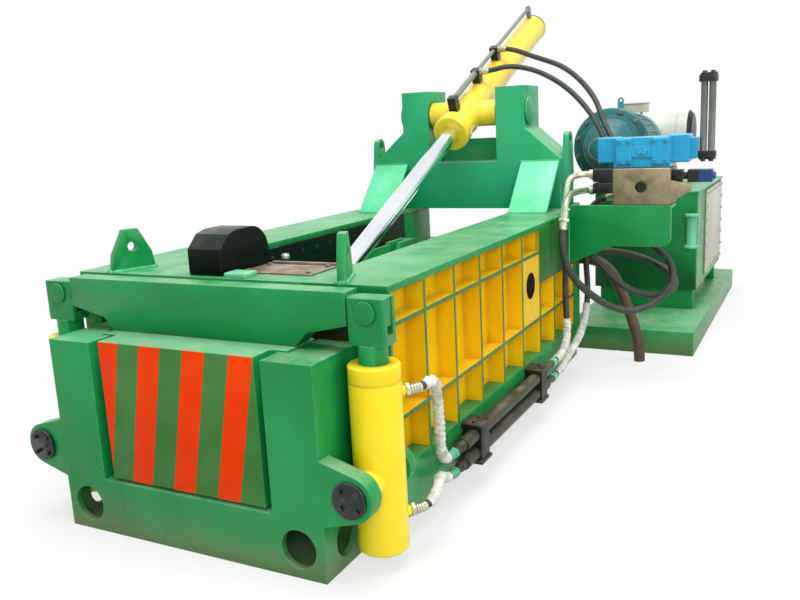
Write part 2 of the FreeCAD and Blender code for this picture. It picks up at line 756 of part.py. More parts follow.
def side_wall():
    top = BEAM_TOP - BEAM_FLANGE
    inner = CHAMBER_HALF + LINER_THICK
    outline = [
        (CHAMBER_HALF, WALL_BOTTOM), (WALL_OUTER, WALL_BOTTOM), (WALL_OUTER, PANEL_BOTTOM),
        (SKIN_OUTER, PANEL_BOTTOM), (SKIN_OUTER, top), (SKIN_OUTER - SKIN_THICK, top),
        (SKIN_OUTER - SKIN_THICK, PANEL_BOTTOM - RIB_THICK),
        (WALL_OUTER - SKIN_THICK, PANEL_BOTTOM - RIB_THICK),
        (WALL_OUTER - SKIN_THICK, WALL_BOTTOM + RIB_THICK), (inner, WALL_BOTTOM + RIB_THICK),
        (inner, top), (CHAMBER_HALF, top),
    ]
    wall = prism(outline, "Y", WALL_FRONT, WALL_END)
    pieces = []
    for y in RIB_YS + list(REAR_RIBS):
        pieces.append(box((SKIN_OUTER, WALL_OUTER), (y, y + RIB_THICK), (PANEL_BOTTOM, top)))
    for y in (WALL_FRONT, WALL_END - RIB_THICK):
        pieces.append(box((CHAMBER_HALF, WALL_OUTER), (y, y + RIB_THICK), (WALL_BOTTOM, top)))
    for height in CROSS_RIBS:
        ledge = (height - RIB_THICK / 2, height + RIB_THICK / 2)
        pieces.append(box((SKIN_OUTER, WALL_OUTER), (WALL_FRONT, WALL_END), ledge))
    pieces.append(
        box((WALL_OUTER - SHOULDER_THICK, WALL_OUTER), (RIB_YS[-1], SHOULDER_END),
            (SHOULDER_BOTTOM, top))
    )
    wall = joined(wall, *pieces)
    porthole = bar(
        (SKIN_OUTER - SKIN_THICK - 1, PORTHOLE_Y, PORTHOLE_Z), (1, 0, 0),
        PORTHOLE_R, SKIN_THICK + 2,
    )
    notch = bar(
        (GATE_CYLINDER_X, WALL_FRONT - 1, TRUNNION_Z), (0, 1, 0),
        TRUNNION_RING_R + SEAT, TRUNNION_RING + 2 * SEAT + 1,
    )
    return wall.cut([porthole, notch])


def front_lifting_ear():
    """A plate with two chamfered corners and an eye, turned about the vertical on its foot."""
    half = FRONT_EAR_FOOT / 2
    side = half - FRONT_EAR_LEAN
    flat = FRONT_EAR_FLAT / 2
    rise = FRONT_EAR_TOP - BEAM_TOP
    outline = [
        (-half, 0), (half, 0), (side, FRONT_EAR_SIDE), (flat, rise), (-flat, rise),
        (-side, FRONT_EAR_SIDE),
    ]
    ear = prism(outline, "Y", -FRONT_EAR_THICK / 2, FRONT_EAR_THICK / 2)
    eye = bar(
        (0, -FRONT_EAR_THICK, FRONT_EAR_EYE_Z - BEAM_TOP), (0, 1, 0),
        FRONT_EAR_BORE, 2 * FRONT_EAR_THICK,
    )
    ear = ear.cut(eye)
    turn = FreeCAD.Rotation(V(0, 0, 1), 180 - FRONT_EAR_ANGLE)
    ear.Placement = FreeCAD.Placement(V(FRONT_EAR_X, FRONT_EAR_Y, BEAM_TOP), turn)
    return ear


def top_beam():
    flange = box(
        (CHAMBER_HALF, WALL_OUTER), (WALL_FRONT, WALL_END), (BEAM_TOP - BEAM_FLANGE, BEAM_TOP)
    )
    tail = box(
        (CHAMBER_HALF, HEAD_HALF_WIDTH), (WALL_END, HEAD_END), (BEAM_TOP - BEAM_FLANGE, BEAM_TOP)
    )
    return joined(flange, tail, front_lifting_ear())


def skid_beams():
    skid = box((SKID_INNER, SKID_OUTER), (WALL_FRONT, HEAD_END), (0, WALL_BOTTOM))
    return both_sides(skid)


def chamber_floor():
    half = CHAMBER_HALF
    pieces = [box((-half, half), (WALL_FRONT, WALL_END), (SILL_TOP - FLOOR_THICK, SILL_TOP))]
    span = WALL_END - WALL_FRONT - FLOOR_BEARER_WIDTH
    for number in range(FLOOR_BEARERS):
        y = WALL_FRONT + span * number / (FLOOR_BEARERS - 1)
        pieces.append(
            box((-half, half), (y, y + FLOOR_BEARER_WIDTH), (WALL_BOTTOM, SILL_TOP - FLOOR_THICK))
        )
    return joined(*pieces)


def wall_blades():
    high = BEAM_TOP - BEAM_FLANGE
    low = high - BLADE_HEIGHT
    inner = CHAMBER_HALF - BLADE_THICK
    blade = box((inner, CHAMBER_HALF), (ROOF_NOSE + BLADE_GAP, WALL_END - BLADE_REAR_GAP), (low, high))
    heads = []
    count = int((WALL_END - BLADE_REAR_GAP - ROOF_NOSE) // BLADE_BOLT_PITCH)
    for number in range(count):
        y = ROOF_NOSE + BLADE_GAP + BLADE_BOLT_PITCH * (number + 0.5)
        heads.append(
            bar((inner - 4, y, (low + high) / 2), (1, 0, 0), BLADE_BOLT_R, 6)
        )
    return both_sides(joined(blade, *heads))


def front_cover_plate():
    outline = [
        (WALL_FRONT, ROOF_UNDERSIDE), (ROOF_NOSE, ROOF_UNDERSIDE),
        (ROOF_NOSE, ROOF_UNDERSIDE + ROOF_LIP), (ROOF_END, BEAM_TOP - BEAM_FLANGE),
        (ROOF_END, BEAM_TOP), (WALL_FRONT, BEAM_TOP),
    ]
    return prism(outline, "X", -CHAMBER_HALF, CHAMBER_HALF)


def hood_outline(inset):
    """The hood's side outline, drawn in by the thickness of its sheet."""
    front = HOOD_FRONT + inset
    rear = HOOD_REAR - inset
    top = HOOD_TOP - inset
    return [
        (front, BEAM_TOP), (front, HOOD_FACE_TOP - inset / 2), (front + HOOD_BROW / 2, top - 14),
        (front + HOOD_BROW, top), (rear - HOOD_BROW, top),
        ((rear - 45, top - 30), (rear - 10, top - 100)), (rear, BEAM_TOP),
    ]


def guard_hood():
    outer = prism(hood_outline(0), "X", HOOD_LEFT, HOOD_RIGHT)
    inner = prism(
        hood_outline(HOOD_SHEET), "X", HOOD_LEFT + HOOD_SHEET, HOOD_RIGHT - HOOD_SHEET
    )
    return outer.cut(inner)


def head_outline(inset):
    half = HEAD_HALF_WIDTH - inset
    inner = CHAMBER_HALF + inset
    low = WALL_BOTTOM + inset
    high = BEAM_TOP - BEAM_FLANGE - inset
    saddle = HEAD_SADDLE - inset
    return [
        (-half, low), (half, low), (half, high), (inner, high), (inner, saddle),
        (-inner, saddle), (-inner, high), (-half, high),
    ]


def rear_crosshead():
    body = prism(head_outline(0), "Y", WALL_END, HEAD_END)
    pocket = prism(head_outline(HEAD_FLANGE), "Y", WALL_END + HEAD_PLATE, HEAD_END + 1)
    nose = bar((0, WALL_END - 1, RAM_AXIS_Z), (0, 1, 0), MAIN_NOSE_R + SEAT, HEAD_PLATE + 2)
    head = body.cut([pocket, nose])
    side = HEAD_HALF_WIDTH - 1
    lugs = [
        bar((side, HEAD_PORT_Y, HEAD_PORT_Z), (1, 0, 0), LOOP_HOSE_R + 8, PORT_STUB + 1),
        bar((side, CONDUIT_Y, CONDUIT_Z), (1, 0, 0), CONDUIT_R + 10, PORT_STUB + 1),
    ]
    for side in (-1, 1):
        middle = side * HINGE_LUG_X
        lugs.append(
            eye_plate(
                (WALL_END, HINGE_Z - 110), (WALL_END, HINGE_Z), (HINGE_Y, HINGE_Z),
                HINGE_LUG_R, "X", middle - HINGE_LUG_THICK / 2, middle + HINGE_LUG_THICK / 2,
                HINGE_PIN_R + RUNNING,
            )
        )
    return joined(head, *lugs)


def lid_hinge_pin():
    return bar((-HINGE_PIN_END, HINGE_Y, HINGE_Z), (1, 0, 0), HINGE_PIN_R, 2 * HINGE_PIN_END)


def gantry_frame():
    back = GANTRY_FRONT + GANTRY_DEPTH
    outline = [
        (-GANTRY_HALF, BEAM_TOP), (GANTRY_HALF, BEAM_TOP), (GANTRY_HALF, GANTRY_SHOULDER),
        (POST_OUTER, POST_SLOPE_TOP), (POST_OUTER, GANTRY_TOP), (POST_INNER, GANTRY_TOP),
        (POST_INNER, GANTRY_NOTCH), (-POST_INNER, GANTRY_NOTCH), (-POST_INNER, GANTRY_TOP),
        (-POST_OUTER, GANTRY_TOP), (-POST_OUTER, POST_SLOPE_TOP), (-GANTRY_HALF, GANTRY_SHOULDER),
    ]
    frame = prism(outline, "Y", GANTRY_FRONT, back)
    bore = bar(
        (-POST_OUTER - 1, LID_TRUNNION_Y, LID_TRUNNION_Z), (1, 0, 0),
        LID_TRUNNION_R + RUNNING, 2 * POST_OUTER + 2,
    )
    backing = box(
        (-POST_INNER, POST_INNER), (back - GANTRY_BACK_THICK, back),
        (GANTRY_NOTCH, GANTRY_BACK_TOP),
    )
    half = GANTRY_EAR_FOOT / 2
    foot = GANTRY_SHOULDER - GANTRY_EAR_DROP
    ear = eye_plate(
        (GANTRY_EAR_Y - half, foot), (GANTRY_EAR_Y + half, foot),
        (GANTRY_EAR_Y, GANTRY_EAR_TOP - GANTRY_EAR_R), GANTRY_EAR_R, "X",
        GANTRY_HALF, GANTRY_HALF + GANTRY_EAR_THICK, GANTRY_EAR_BORE,
    )
    return joined(frame.cut(bore), backing, ear, mirrored(ear))


def gantry_gussets():
    rise = GANTRY_SHOULDER - 8
    run = GANTRY_FRONT - GUSSET_FRONT
    slope = math.atan2(rise - BEAM_TOP, run)
    drop = GUSSET_PLATE / math.cos(slope)
    step = GUSSET_PLATE / math.sin(slope)
    plate = prism(
        [
            (GUSSET_FRONT, BEAM_TOP), (GUSSET_FRONT + step, BEAM_TOP),
            (GANTRY_FRONT, rise - drop), (GANTRY_FRONT, rise),
        ],
        "X", GUSSET_INNER, GUSSET_OUTER,
    )
    middle = (GUSSET_INNER + GUSSET_OUTER) / 2
    web = prism(
        [
            (GUSSET_FRONT + step, BEAM_TOP), (GANTRY_FRONT, BEAM_TOP), (GANTRY_FRONT, rise - drop)
        ],
        "X", middle - GUSSET_PLATE / 2, middle + GUSSET_PLATE / 2,
    )
    return both_sides(joined(plate, web))


def lid_trunnion_caps():
    cap = bar(
        (POST_OUTER, LID_TRUNNION_Y, LID_TRUNNION_Z), (1, 0, 0), LID_CAP_R, LID_CAP_THICK
    )
    return both_sides(cap)


# Lid and its cylinder

def press_lid():
    plate = box(
        (-LID_HALF_WIDTH, LID_HALF_WIDTH), (LID_FRONT, LID_REAR),
        (LID_BOTTOM, LID_BOTTOM + LID_PLATE),
    )
    top = LID_BOTTOM + LID_PLATE
    pieces = []
    rib = [
        (LID_FRONT + 20, top), (LID_REAR, top), (LID_REAR, LID_RIB_REAR_Z),
        (LID_REAR - LID_RIB_FLAT, LID_RIB_REAR_Z), (LID_FRONT + LID_RIB_NOSE, LID_RIB_FRONT_Z),
    ]
    for offset in LID_RIB_X:
        for side in (-1, 1):
            middle = side * offset
            pieces.append(
                prism(rib, "X", middle - LID_RIB_THICK / 2, middle + LID_RIB_THICK / 2)
            )
    lug_clearance = HINGE_LUG_THICK / 2 + SIDE_PLAY
    for side in (-1, 1):
        for low in (-lug_clearance - HINGE_LUG_THICK + 8, lug_clearance):
            start = side * HINGE_LUG_X + low
            pieces.append(
                eye_plate(
                    (LID_REAR - LID_LUG_ROOT, LID_BOTTOM), (LID_REAR - 60, LID_RIB_REAR_Z + 15),
                    (HINGE_Y, HINGE_Z), HINGE_LUG_R, "X",
                    start, start + HINGE_LUG_THICK - 8, HINGE_PIN_R + RUNNING,
                )
            )
    for side in (-1, 1):
        inner = LID_EYE_HALF + SIDE_PLAY
        span = sorted((side * inner, side * (inner + ROD_EAR_THICK)))
        pieces.append(
            eye_plate(
                (ROD_PIN_Y - ROD_EAR_FOOT / 2, top), (ROD_PIN_Y + ROD_EAR_FOOT / 2, top),
                (ROD_PIN_Y, ROD_PIN_Z), ROD_EAR_R, "X", span[0], span[1],
                ROD_PIN_R + LINK_SLACK,
            )
        )
    return joined(plate, *pieces)


def lid_cylinder():
    front = -LID_BARREL_FRONT
    rear = LID_BARREL_REAR
    barrel = turned(
        [
            (front, LID_ROD_R + RUNNING), (front, LID_GLAND_R - 10), (front + 10, LID_GLAND_R),
            (front + LID_GLAND, LID_GLAND_R), (front + LID_GLAND, LID_BARREL_R),
            (-LID_STUB_R - 20, LID_BARREL_R), (-LID_STUB_R, LID_BARREL_R + 14),
            (LID_STUB_R, LID_BARREL_R + 14), (LID_STUB_R + 20, LID_BARREL_R),
            (rear - 46, LID_BARREL_R), (rear - 40, LID_BARREL_R + 4),
            (rear - 4, LID_BARREL_R + 4), (rear, LID_BARREL_R), (rear, 0), (rear - 40, 0),
            (rear - 40, LID_BORE_R), (front + LID_GLAND, LID_BORE_R),
            (front + LID_GLAND, LID_ROD_R + RUNNING),
        ],
        (0, 0, 0), (0, 1, 0),
    )
    bore = bar((0, front + LID_GLAND, 0), (0, 1, 0), LID_BORE_R, LID_GLAND + LID_BARREL_REAR)
    stub = bar((-LID_STUB_END, 0, 0), (1, 0, 0), LID_STUB_R, 2 * LID_STUB_END)
    pin = bar((-LID_TRUNNION_END, 0, 0), (1, 0, 0), LID_TRUNNION_R, 2 * LID_TRUNNION_END)
    plug = turned([(rear, 0), (rear, 16), (rear + 30, 12), (rear + 34, 0)], (0, 0, 60), (0, 1, 0))
    return laid_on_link(joined(barrel, joined(stub, pin).cut(bore), plug))


def lid_cylinder_pipes():
    """The hard pipe over the barrel, its three port blocks and their feet on the barrel."""
    half = PORT_BLOCK / 2
    pieces = []
    for distance in PORT_BLOCKS:
        foot_low = LID_BARREL_R + 14 + SEAT if abs(distance) < LID_STUB_R else LID_BARREL_R + SEAT
        pieces.append(
            box((-half, half), (distance - half, distance + half), (foot_low, PORT_RISE + 22))
        )
    pieces.append(
        bar((0, PORT_BLOCKS[0], PORT_RISE), (0, 1, 0), PORT_PIPE_R + 6,
            PORT_BLOCKS[1] - PORT_BLOCKS[0])
    )
    pieces.append(
        bar((0, PORT_BLOCKS[1], PORT_RISE), (0, 1, 0), PORT_PIPE_R,
            PORT_PIPE_END - PORT_BLOCKS[1])
    )
    end_foot = LID_BARREL_R + 4 + SEAT
    pieces.append(
        box((-half / 2, half / 2), (PORT_PIPE_END - half, PORT_PIPE_END + half / 2),
            (end_foot, PORT_RISE + PORT_PIPE_R + 4))
    )
    return laid_on_link(joined(*pieces))


def lid_rod():
    front = -LINK_LENGTH
    piston = -LID_BARREL_FRONT + LID_GLAND + 5
    rod = turned(
        [
            (front, 0), (front, LID_ROD_R), (piston, LID_ROD_R),
            (piston, LID_BORE_R - RUNNING), (piston + LID_PISTON, LID_BORE_R - RUNNING),
            (piston + LID_PISTON, 0),
        ],
        (0, 0, 0), (0, 1, 0),
    )
    eye = bar((-LID_EYE_HALF, front, 0), (1, 0, 0), LID_EYE_R, 2 * LID_EYE_HALF)
    hole = bar(
        (-LID_EYE_HALF - 1, front, 0), (1, 0, 0), ROD_PIN_R + RUNNING, 2 * LID_EYE_HALF + 2
    )
    return laid_on_link(joined(rod, eye).cut(hole))


def lid_rod_pin():
    half = LID_EYE_HALF + SIDE_PLAY + ROD_EAR_THICK + SIDE_PLAY / 3
    head_r = ROD_PIN_R + LINK_SLACK + 16
    pin = turned(
        [
            (-half - 10, 0), (-half - 10, head_r), (-half, head_r), (-half, ROD_PIN_R),
            (half, ROD_PIN_R), (half, head_r), (half + 10, head_r), (half + 10, 0),
        ],
        (0, ROD_PIN_Y, ROD_PIN_Z), (1, 0, 0),
    )
    return pin


# Main ram

def ram_head():
    low = SILL_TOP + SEAT
    high = low + RAM_HEIGHT
    face = box((-RAM_HALF_WIDTH, RAM_HALF_WIDTH), (RAM_FACE, RAM_FACE + RAM_FACE_PLATE), (low, high))
    web = RAM_WEB_HALF
    half = RAM_HALF_WIDTH
    outline = [
        (-half, low), (half, low), (half, low + RAM_FLANGE), (web, low + RAM_FLANGE + 30),
        (web, high - RAM_FLANGE - 30), (half, high - RAM_FLANGE), (half, high), (-half, high),
        (-half, high - RAM_FLANGE), (-web, high - RAM_FLANGE - 30),
        (-web, low + RAM_FLANGE + 30), (-half, low + RAM_FLANGE),
    ]
    body = prism(outline, "Y", RAM_FACE + RAM_FACE_PLATE, RAM_FACE + RAM_LENGTH)
    return joined(face, body)


def ram_rod():
    front = RAM_FACE + RAM_LENGTH
    piston = WALL_END + MAIN_GLAND + RAM_STROKE + 20
    return turned(
        [
            (front, 0), (front, RAM_ROD_R + 40), (front + 40, RAM_ROD_R + 40),
            (front + 40, RAM_ROD_R), (piston, RAM_ROD_R), (piston, MAIN_BORE_R - RUNNING),
            (piston + MAIN_PISTON, MAIN_BORE_R - RUNNING), (piston + MAIN_PISTON, 0),
        ],
        (0, 0, RAM_AXIS_Z), (0, 1, 0),
    )


def main_cylinder():
    flange = WALL_END + HEAD_PLATE
    barrel = turned(
        [
            (WALL_END, RAM_ROD_R + RUNNING), (WALL_END, MAIN_NOSE_R), (flange, MAIN_NOSE_R),
            (flange, MAIN_FLANGE_R), (flange + MAIN_FLANGE, MAIN_FLANGE_R),
            (flange + MAIN_FLANGE, MAIN_BARREL_R), (MAIN_END, MAIN_BARREL_R),
            (MAIN_END, MAIN_BARREL_R + 12), (MAIN_END + MAIN_CAP, MAIN_BARREL_R + 12),
            (MAIN_END + MAIN_CAP, 0), (MAIN_END, 0), (MAIN_END, MAIN_BORE_R),
            (WALL_END + MAIN_GLAND, MAIN_BORE_R), (WALL_END + MAIN_GLAND, RAM_ROD_R + RUNNING),
        ],
        (0, 0, RAM_AXIS_Z), (0, 1, 0),
    )
    return barrel


def cylinder_saddle():
    cheek = MAIN_BARREL_R + SADDLE_CHEEK
    outline = [
        (-SADDLE_HALF, 0), (SADDLE_HALF, 0), (SADDLE_HALF, SADDLE_FLANGE), (cheek, SADDLE_WAIST),
        (cheek, RAM_AXIS_Z), (-cheek, RAM_AXIS_Z), (-cheek, SADDLE_WAIST),
        (-SADDLE_HALF, SADDLE_FLANGE),
    ]
    block = prism(outline, "Y", SADDLE_Y, SADDLE_Y + SADDLE_THICK)
    seat = bar(
        (0, SADDLE_Y - 1, RAM_AXIS_Z), (0, 1, 0), MAIN_BARREL_R + SEAT, SADDLE_THICK + 2
    )
    return block.cut(seat)


# Power unit

def power_base():
    """The power unit's floor: a deck plate welded on two long and four cross rails. A tie runs
    from its left rail to the press body's runner."""
    top = BASE_HEIGHT - DECK_THICK
    tie = box((BASE_LEFT, BASE_LEFT + RAIL_WIDTH), (HEAD_END, BASE_FRONT), (0, WALL_BOTTOM))
    pieces = [
        box((x, x + RAIL_WIDTH), (BASE_FRONT, BASE_REAR), (0, top))
        for x in (BASE_LEFT, BASE_RIGHT - RAIL_WIDTH)
    ]
    for number in range(BASE_CROSS_RAILS):
        y = BASE_FRONT + (BASE_REAR - BASE_FRONT - RAIL_WIDTH) * number / (BASE_CROSS_RAILS - 1)
        pieces.append(box((BASE_LEFT, BASE_RIGHT), (y, y + RAIL_WIDTH), (0, top)))
    deck = box((BASE_LEFT, BASE_RIGHT), (BASE_FRONT, BASE_REAR), (top, BASE_HEIGHT))
    return joined(deck, tie, *pieces)


def oil_tank():
    body = box((TANK_LEFT, TANK_RIGHT), (TANK_FRONT, TANK_REAR), (TANK_BOTTOM, TANK_TOP))
    edges = [edge for edge in body.Edges if edge.BoundBox.ZLength > TANK_TOP - TANK_BOTTOM - 1]
    body = body.makeFillet(TANK_CORNER, edges)
    lip = TANK_LID_LIP
    lid = box(
        (TANK_LEFT - lip, TANK_RIGHT + lip), (TANK_FRONT - lip, TANK_REAR + lip),
        (TANK_TOP - TANK_LID, TANK_TOP),
    )
    feet = []
    front_foot = TANK_FRONT + TANK_FOOT_END
    rear_foot = TANK_REAR - TANK_FOOT_END - TANK_FOOT
    for x in (TANK_LEFT + TANK_FOOT_SIDE, TANK_RIGHT - TANK_FOOT_SIDE - TANK_FOOT):
        for y, root, ahead in ((front_foot, front_foot + TANK_FOOT, 1), (rear_foot, rear_foot, -1)):
            feet.append(box((x, x + TANK_FOOT), (y, y + TANK_FOOT), (BASE_HEIGHT, TANK_BOTTOM)))
            gusset = [
                (root, TANK_BOTTOM), (root + ahead * TANK_GUSSET, TANK_BOTTOM),
                (root, TANK_BOTTOM - TANK_GUSSET),
            ]
            feet.append(prism(gusset, "X", x, x + TANK_APRON))
    apron = box(
        (TANK_LEFT + TANK_FOOT_SIDE + TANK_FOOT, TANK_RIGHT - TANK_FOOT_SIDE - TANK_FOOT),
        (front_foot, front_foot + TANK_APRON), (BASE_HEIGHT, TANK_BOTTOM),
    )
    return joined(body, lid, apron, *feet)


def tank_cover():
    return box(
        (TANK_RIGHT, TANK_RIGHT + COVER_THICK), (COVER_FRONT, COVER_REAR), (COVER_BOTTOM, COVER_TOP)
    )


def tank_cover_bolts():
    across = 9
    up = 7
    inset = COVER_BOLT_INSET
    x = TANK_RIGHT + COVER_THICK
    spots = set()
    for number in range(across):
        y = COVER_FRONT + inset + (COVER_REAR - COVER_FRONT - 2 * inset) * number / (across - 1)
        spots.add((round(y, 3), COVER_BOTTOM + inset))
        spots.add((round(y, 3), COVER_TOP - inset))
    for number in range(1, up - 1):
        z = COVER_BOTTOM + inset + (COVER_TOP - COVER_BOTTOM - 2 * inset) * number / (up - 1)
        spots.add((COVER_FRONT + inset, round(z, 3)))
        spots.add((COVER_REAR - inset, round(z, 3)))
    heads = [
        bar((x, y, z), (1, 0, 0), COVER_BOLT_R, COVER_BOLT_HEIGHT) for y, z in sorted(spots)
    ]
    return Part.makeCompound(heads)


def motor(x, z, radius, front, body, cowl, flange_r, fins, stand_front):
    """An electric motor along +Y: flange, finned body, fan cowl and feet on the tank."""
    cover = front + body
    core = turned(
        [
            (front, 0), (front, flange_r - 8), (front + 8, flange_r), (front + 34, flange_r),
            (front + 44, radius), (cover, radius), (cover, radius + FIN_HEIGHT - 4),
            (cover + cowl - 30, radius + FIN_HEIGHT - 4), (cover + cowl, radius - 24),
            (cover + cowl, 0),
        ],
        (x, 0, z), (0, 1, 0),
    )
    pieces = []
    for number in range(fins):
        fin = box(
            (-FIN_THICK / 2, FIN_THICK / 2), (front + 60, cover - 20),
            (radius - 6, radius + FIN_HEIGHT),
        )
        turn = FreeCAD.Rotation(V(0, 1, 0), 360.0 * (number + 0.5) / fins)
        fin.Placement = FreeCAD.Placement(V(x, 0, z), turn)
        pieces.append(fin)
    stand = (stand_front, cover - 30)
    pieces.append(box((x - radius * 0.8, x + radius * 0.8), stand, (TANK_TOP, TANK_TOP + FOOT_PLATE)))
    for side in (-1, 1):
        web_x = sorted((x + side * radius * 0.45, x + side * radius * 0.65))
        pieces.append(box(web_x, stand, (TANK_TOP + FOOT_PLATE, z - radius * 0.6)))
    return joined(core, *pieces)


def main_motor():
    shape = motor(
        MOTOR_X, MOTOR_Z, MOTOR_R, MOTOR_FRONT, MOTOR_BODY, MOTOR_COWL, MOTOR_FLANGE_R, MOTOR_FINS,
        TANK_FRONT + STAND_INSET,
    )
    middle = MOTOR_X + MOTOR_LUG_OFFSET
    crest = MOTOR_Z + MOTOR_FLANGE_R
    lug = eye_plate(
        (middle - MOTOR_LUG_R, crest - MOTOR_LUG_R), (middle + MOTOR_LUG_R, crest - MOTOR_LUG_R),
        (middle, crest + MOTOR_LUG_RISE), MOTOR_LUG_R, "Y", MOTOR_FRONT + 8, MOTOR_FRONT + 26,
        MOTOR_LUG_R / 2,
    )
    return joined(shape, lug)


def second_motor():
    """A smaller motor that lies across the tank, behind the main one."""
    shape = motor(
        -SECOND_Y, SECOND_Z, SECOND_R, SECOND_LEFT, SECOND_BODY, SECOND_COWL, SECOND_R + 14, 0,
        SECOND_LEFT + STAND_INSET,
    )
    shape.rotate(V(0, 0, 0), V(0, 0, 1), -90)
    return shape


def terminal_box():
    y = MOTOR_FRONT + BOX_SETBACK
    low = MOTOR_Z + MOTOR_R + FIN_HEIGHT + SEAT
    start = MOTOR_X + BOX_OFFSET
    body = box((start, start + BOX_WIDTH), (y, y + BOX_LENGTH), (low - 4, low + BOX_HEIGHT))
    clear = bar((MOTOR_X, y - 1, MOTOR_Z), (0, 1, 0), MOTOR_R + FIN_HEIGHT + SEAT, BOX_LENGTH + 2)
    lid = box(
        (start - 6, start + BOX_WIDTH + 6), (y - 6, y + BOX_LENGTH + 6),
        (low + BOX_HEIGHT, low + BOX_HEIGHT + 12),
    )
    return joined(body, lid).cut(clear)


def main_pump():
    start = MOTOR_FRONT
    bell = start - BELL_LENGTH
    pump = bell - PUMP_LENGTH
    return turned(
        [
            (start, 0), (start, BELL_R + 25), (start - 16, BELL_R + 25), (start - 16, BELL_R),
            (bell + 40, BELL_R - 20), (bell, PUMP_R + 20), (bell - 20, PUMP_R + 20),
            (bell - 20, PUMP_R), (pump + 20, PUMP_R), (pump, PUMP_R - 14), (pump, 0),
        ],
        (MOTOR_X, 0, MOTOR_Z), (0, 1, 0),
    )


# Valve group

def valve_bracket():
    corner = BRACKET_CORNER
    right = BRACKET_RIGHT
    belly = BRACKET_BELLY_Z
    bend = corner * (1 - math.sqrt(0.5))
    outline = [
        (WALL_OUTER, BRACKET_FOOT_Z), (BRACKET_BELLY_X, belly), (right - corner, belly),
        ((right - bend, belly + bend), (right, belly + corner)),
        (right, MANIFOLD_BOTTOM), (WALL_OUTER, MANIFOLD_BOTTOM),
    ]
    back = BRACKET_FRONT + BRACKET_THICK
    plate = prism(outline, "Y", BRACKET_FRONT, back)
    shelf = box(
        (MANIFOLD_LEFT, right), (back, back + BRACKET_SHELF), (MANIFOLD_BOTTOM - 20, MANIFOLD_BOTTOM)
    )
    foot = box(
        (WALL_OUTER, WALL_OUTER + BRACKET_FOOT), (back, back + 120),
        (BRACKET_FOOT_Z + 20, BEAM_TOP),
    )
    port = bar(
        (WALL_OUTER + BRACKET_FOOT - 6, FOOT_PORT_Y, FOOT_PORT_Z), (1, 0, 0),
        LOOP_HOSE_R + 7, PORT_STUB + 6,
    )
    return joined(plate, shelf, foot, port)


def valve_manifold():
    block = box(
        (MANIFOLD_LEFT, MANIFOLD_RIGHT), (BRACKET_FRONT, BRACKET_FRONT + MANIFOLD_DEPTH),
        (MANIFOLD_BOTTOM, MANIFOLD_TOP),
    )
    block = block.makeChamfer(5, block.Edges)
    port = bar(
        ((MANIFOLD_LEFT + MANIFOLD_RIGHT) / 2, BRACKET_FRONT - 1,
         (MANIFOLD_BOTTOM + MANIFOLD_TOP) / 2), (0, 1, 0), MANIFOLD_PORT_R, 36,
    )
    below = bar(
        (OUTER_PORT_X, HOSE_PORT_Y, MANIFOLD_BOTTOM + 6), (0, 0, -1),
        LOOP_HOSE_R + 7, PORT_STUB + 6,
    )
    side = bar(
        (MANIFOLD_LEFT + 6, HOSE_PORT_Y - 10, SUPPLY_PORT_Z), (-1, 0, 0),
        SUPPLY_HOSE_R + 7, PORT_STUB + 6,
    )
    root = MANIFOLD_RIGHT - WEDGE_INSET
    end = MANIFOLD_RIGHT + WEDGE_REACH
    wedge = prism(
        [
            (root, MANIFOLD_BOTTOM + WEDGE_INSET), (end, MANIFOLD_BOTTOM + WEDGE_RISE),
            (end, MANIFOLD_TOP - WEDGE_FALL), (root, MANIFOLD_TOP - WEDGE_DROP),
        ],
        "Y", BRACKET_FRONT + WEDGE_INSET, BRACKET_FRONT + WEDGE_INSET + WEDGE_THICK,
    )
    return joined(block.cut(port), wedge, side, below)


def directional_valve():
    """A stack of valve sections: two end caps, two thick housings and a slim spool bank."""
    low = MANIFOLD_TOP
    high = low + VALVE_HEIGHT
    front = VALVE_FRONT
    back = front + VALVE_DEPTH
    body = box((MANIFOLD_LEFT, MANIFOLD_RIGHT - 4), (front, back), (low, high - 8))
    body = body.makeFillet(6, body.Edges)
    left = box((VALVE_LEFT, MANIFOLD_LEFT + 20), (front + 12, back - 12), (low + 30, high - 4))
    left = left.makeFillet(10, left.Edges)
    right = box((MANIFOLD_RIGHT - 30, VALVE_RIGHT - 40), (front + 12, back - 12), (low + 26, high))
    right = right.makeFillet(10, right.Edges)
    cap = box((VALVE_RIGHT - 50, VALVE_RIGHT), (front + 28, back - 28), (low + 44, high - 20))
    cap = cap.makeFillet(8, cap.Edges)
    towers = []
    for start, width in ((MANIFOLD_LEFT + 14, 90), (MANIFOLD_RIGHT - 110, 96)):
        tower = box((start, start + width), (front - 14, front + 40), (low + 20, high - 14))
        towers.append(tower.makeFillet(6, tower.Edges))
    bank = box(
        (MANIFOLD_LEFT + 100, MANIFOLD_RIGHT - 106), (front - 8, front + 30), (low + 60, high - 60)
    )
    knobs = [
        bar((x, front - 16, low + 92), (0, 1, 0), 15, 20)
        for x in (MANIFOLD_LEFT + KNOB_INSET, MANIFOLD_RIGHT - KNOB_INSET)
    ]
    ports = [
        bar((LID_PORT_X, back - 20, height), (0, 1, 0), LID_HOSE_R + 6, 20 + PORT_STUB)
        for height in LID_PORT_HEIGHTS
    ]
    return joined(body, left, right, cap, bank, *towers, *knobs, *ports)


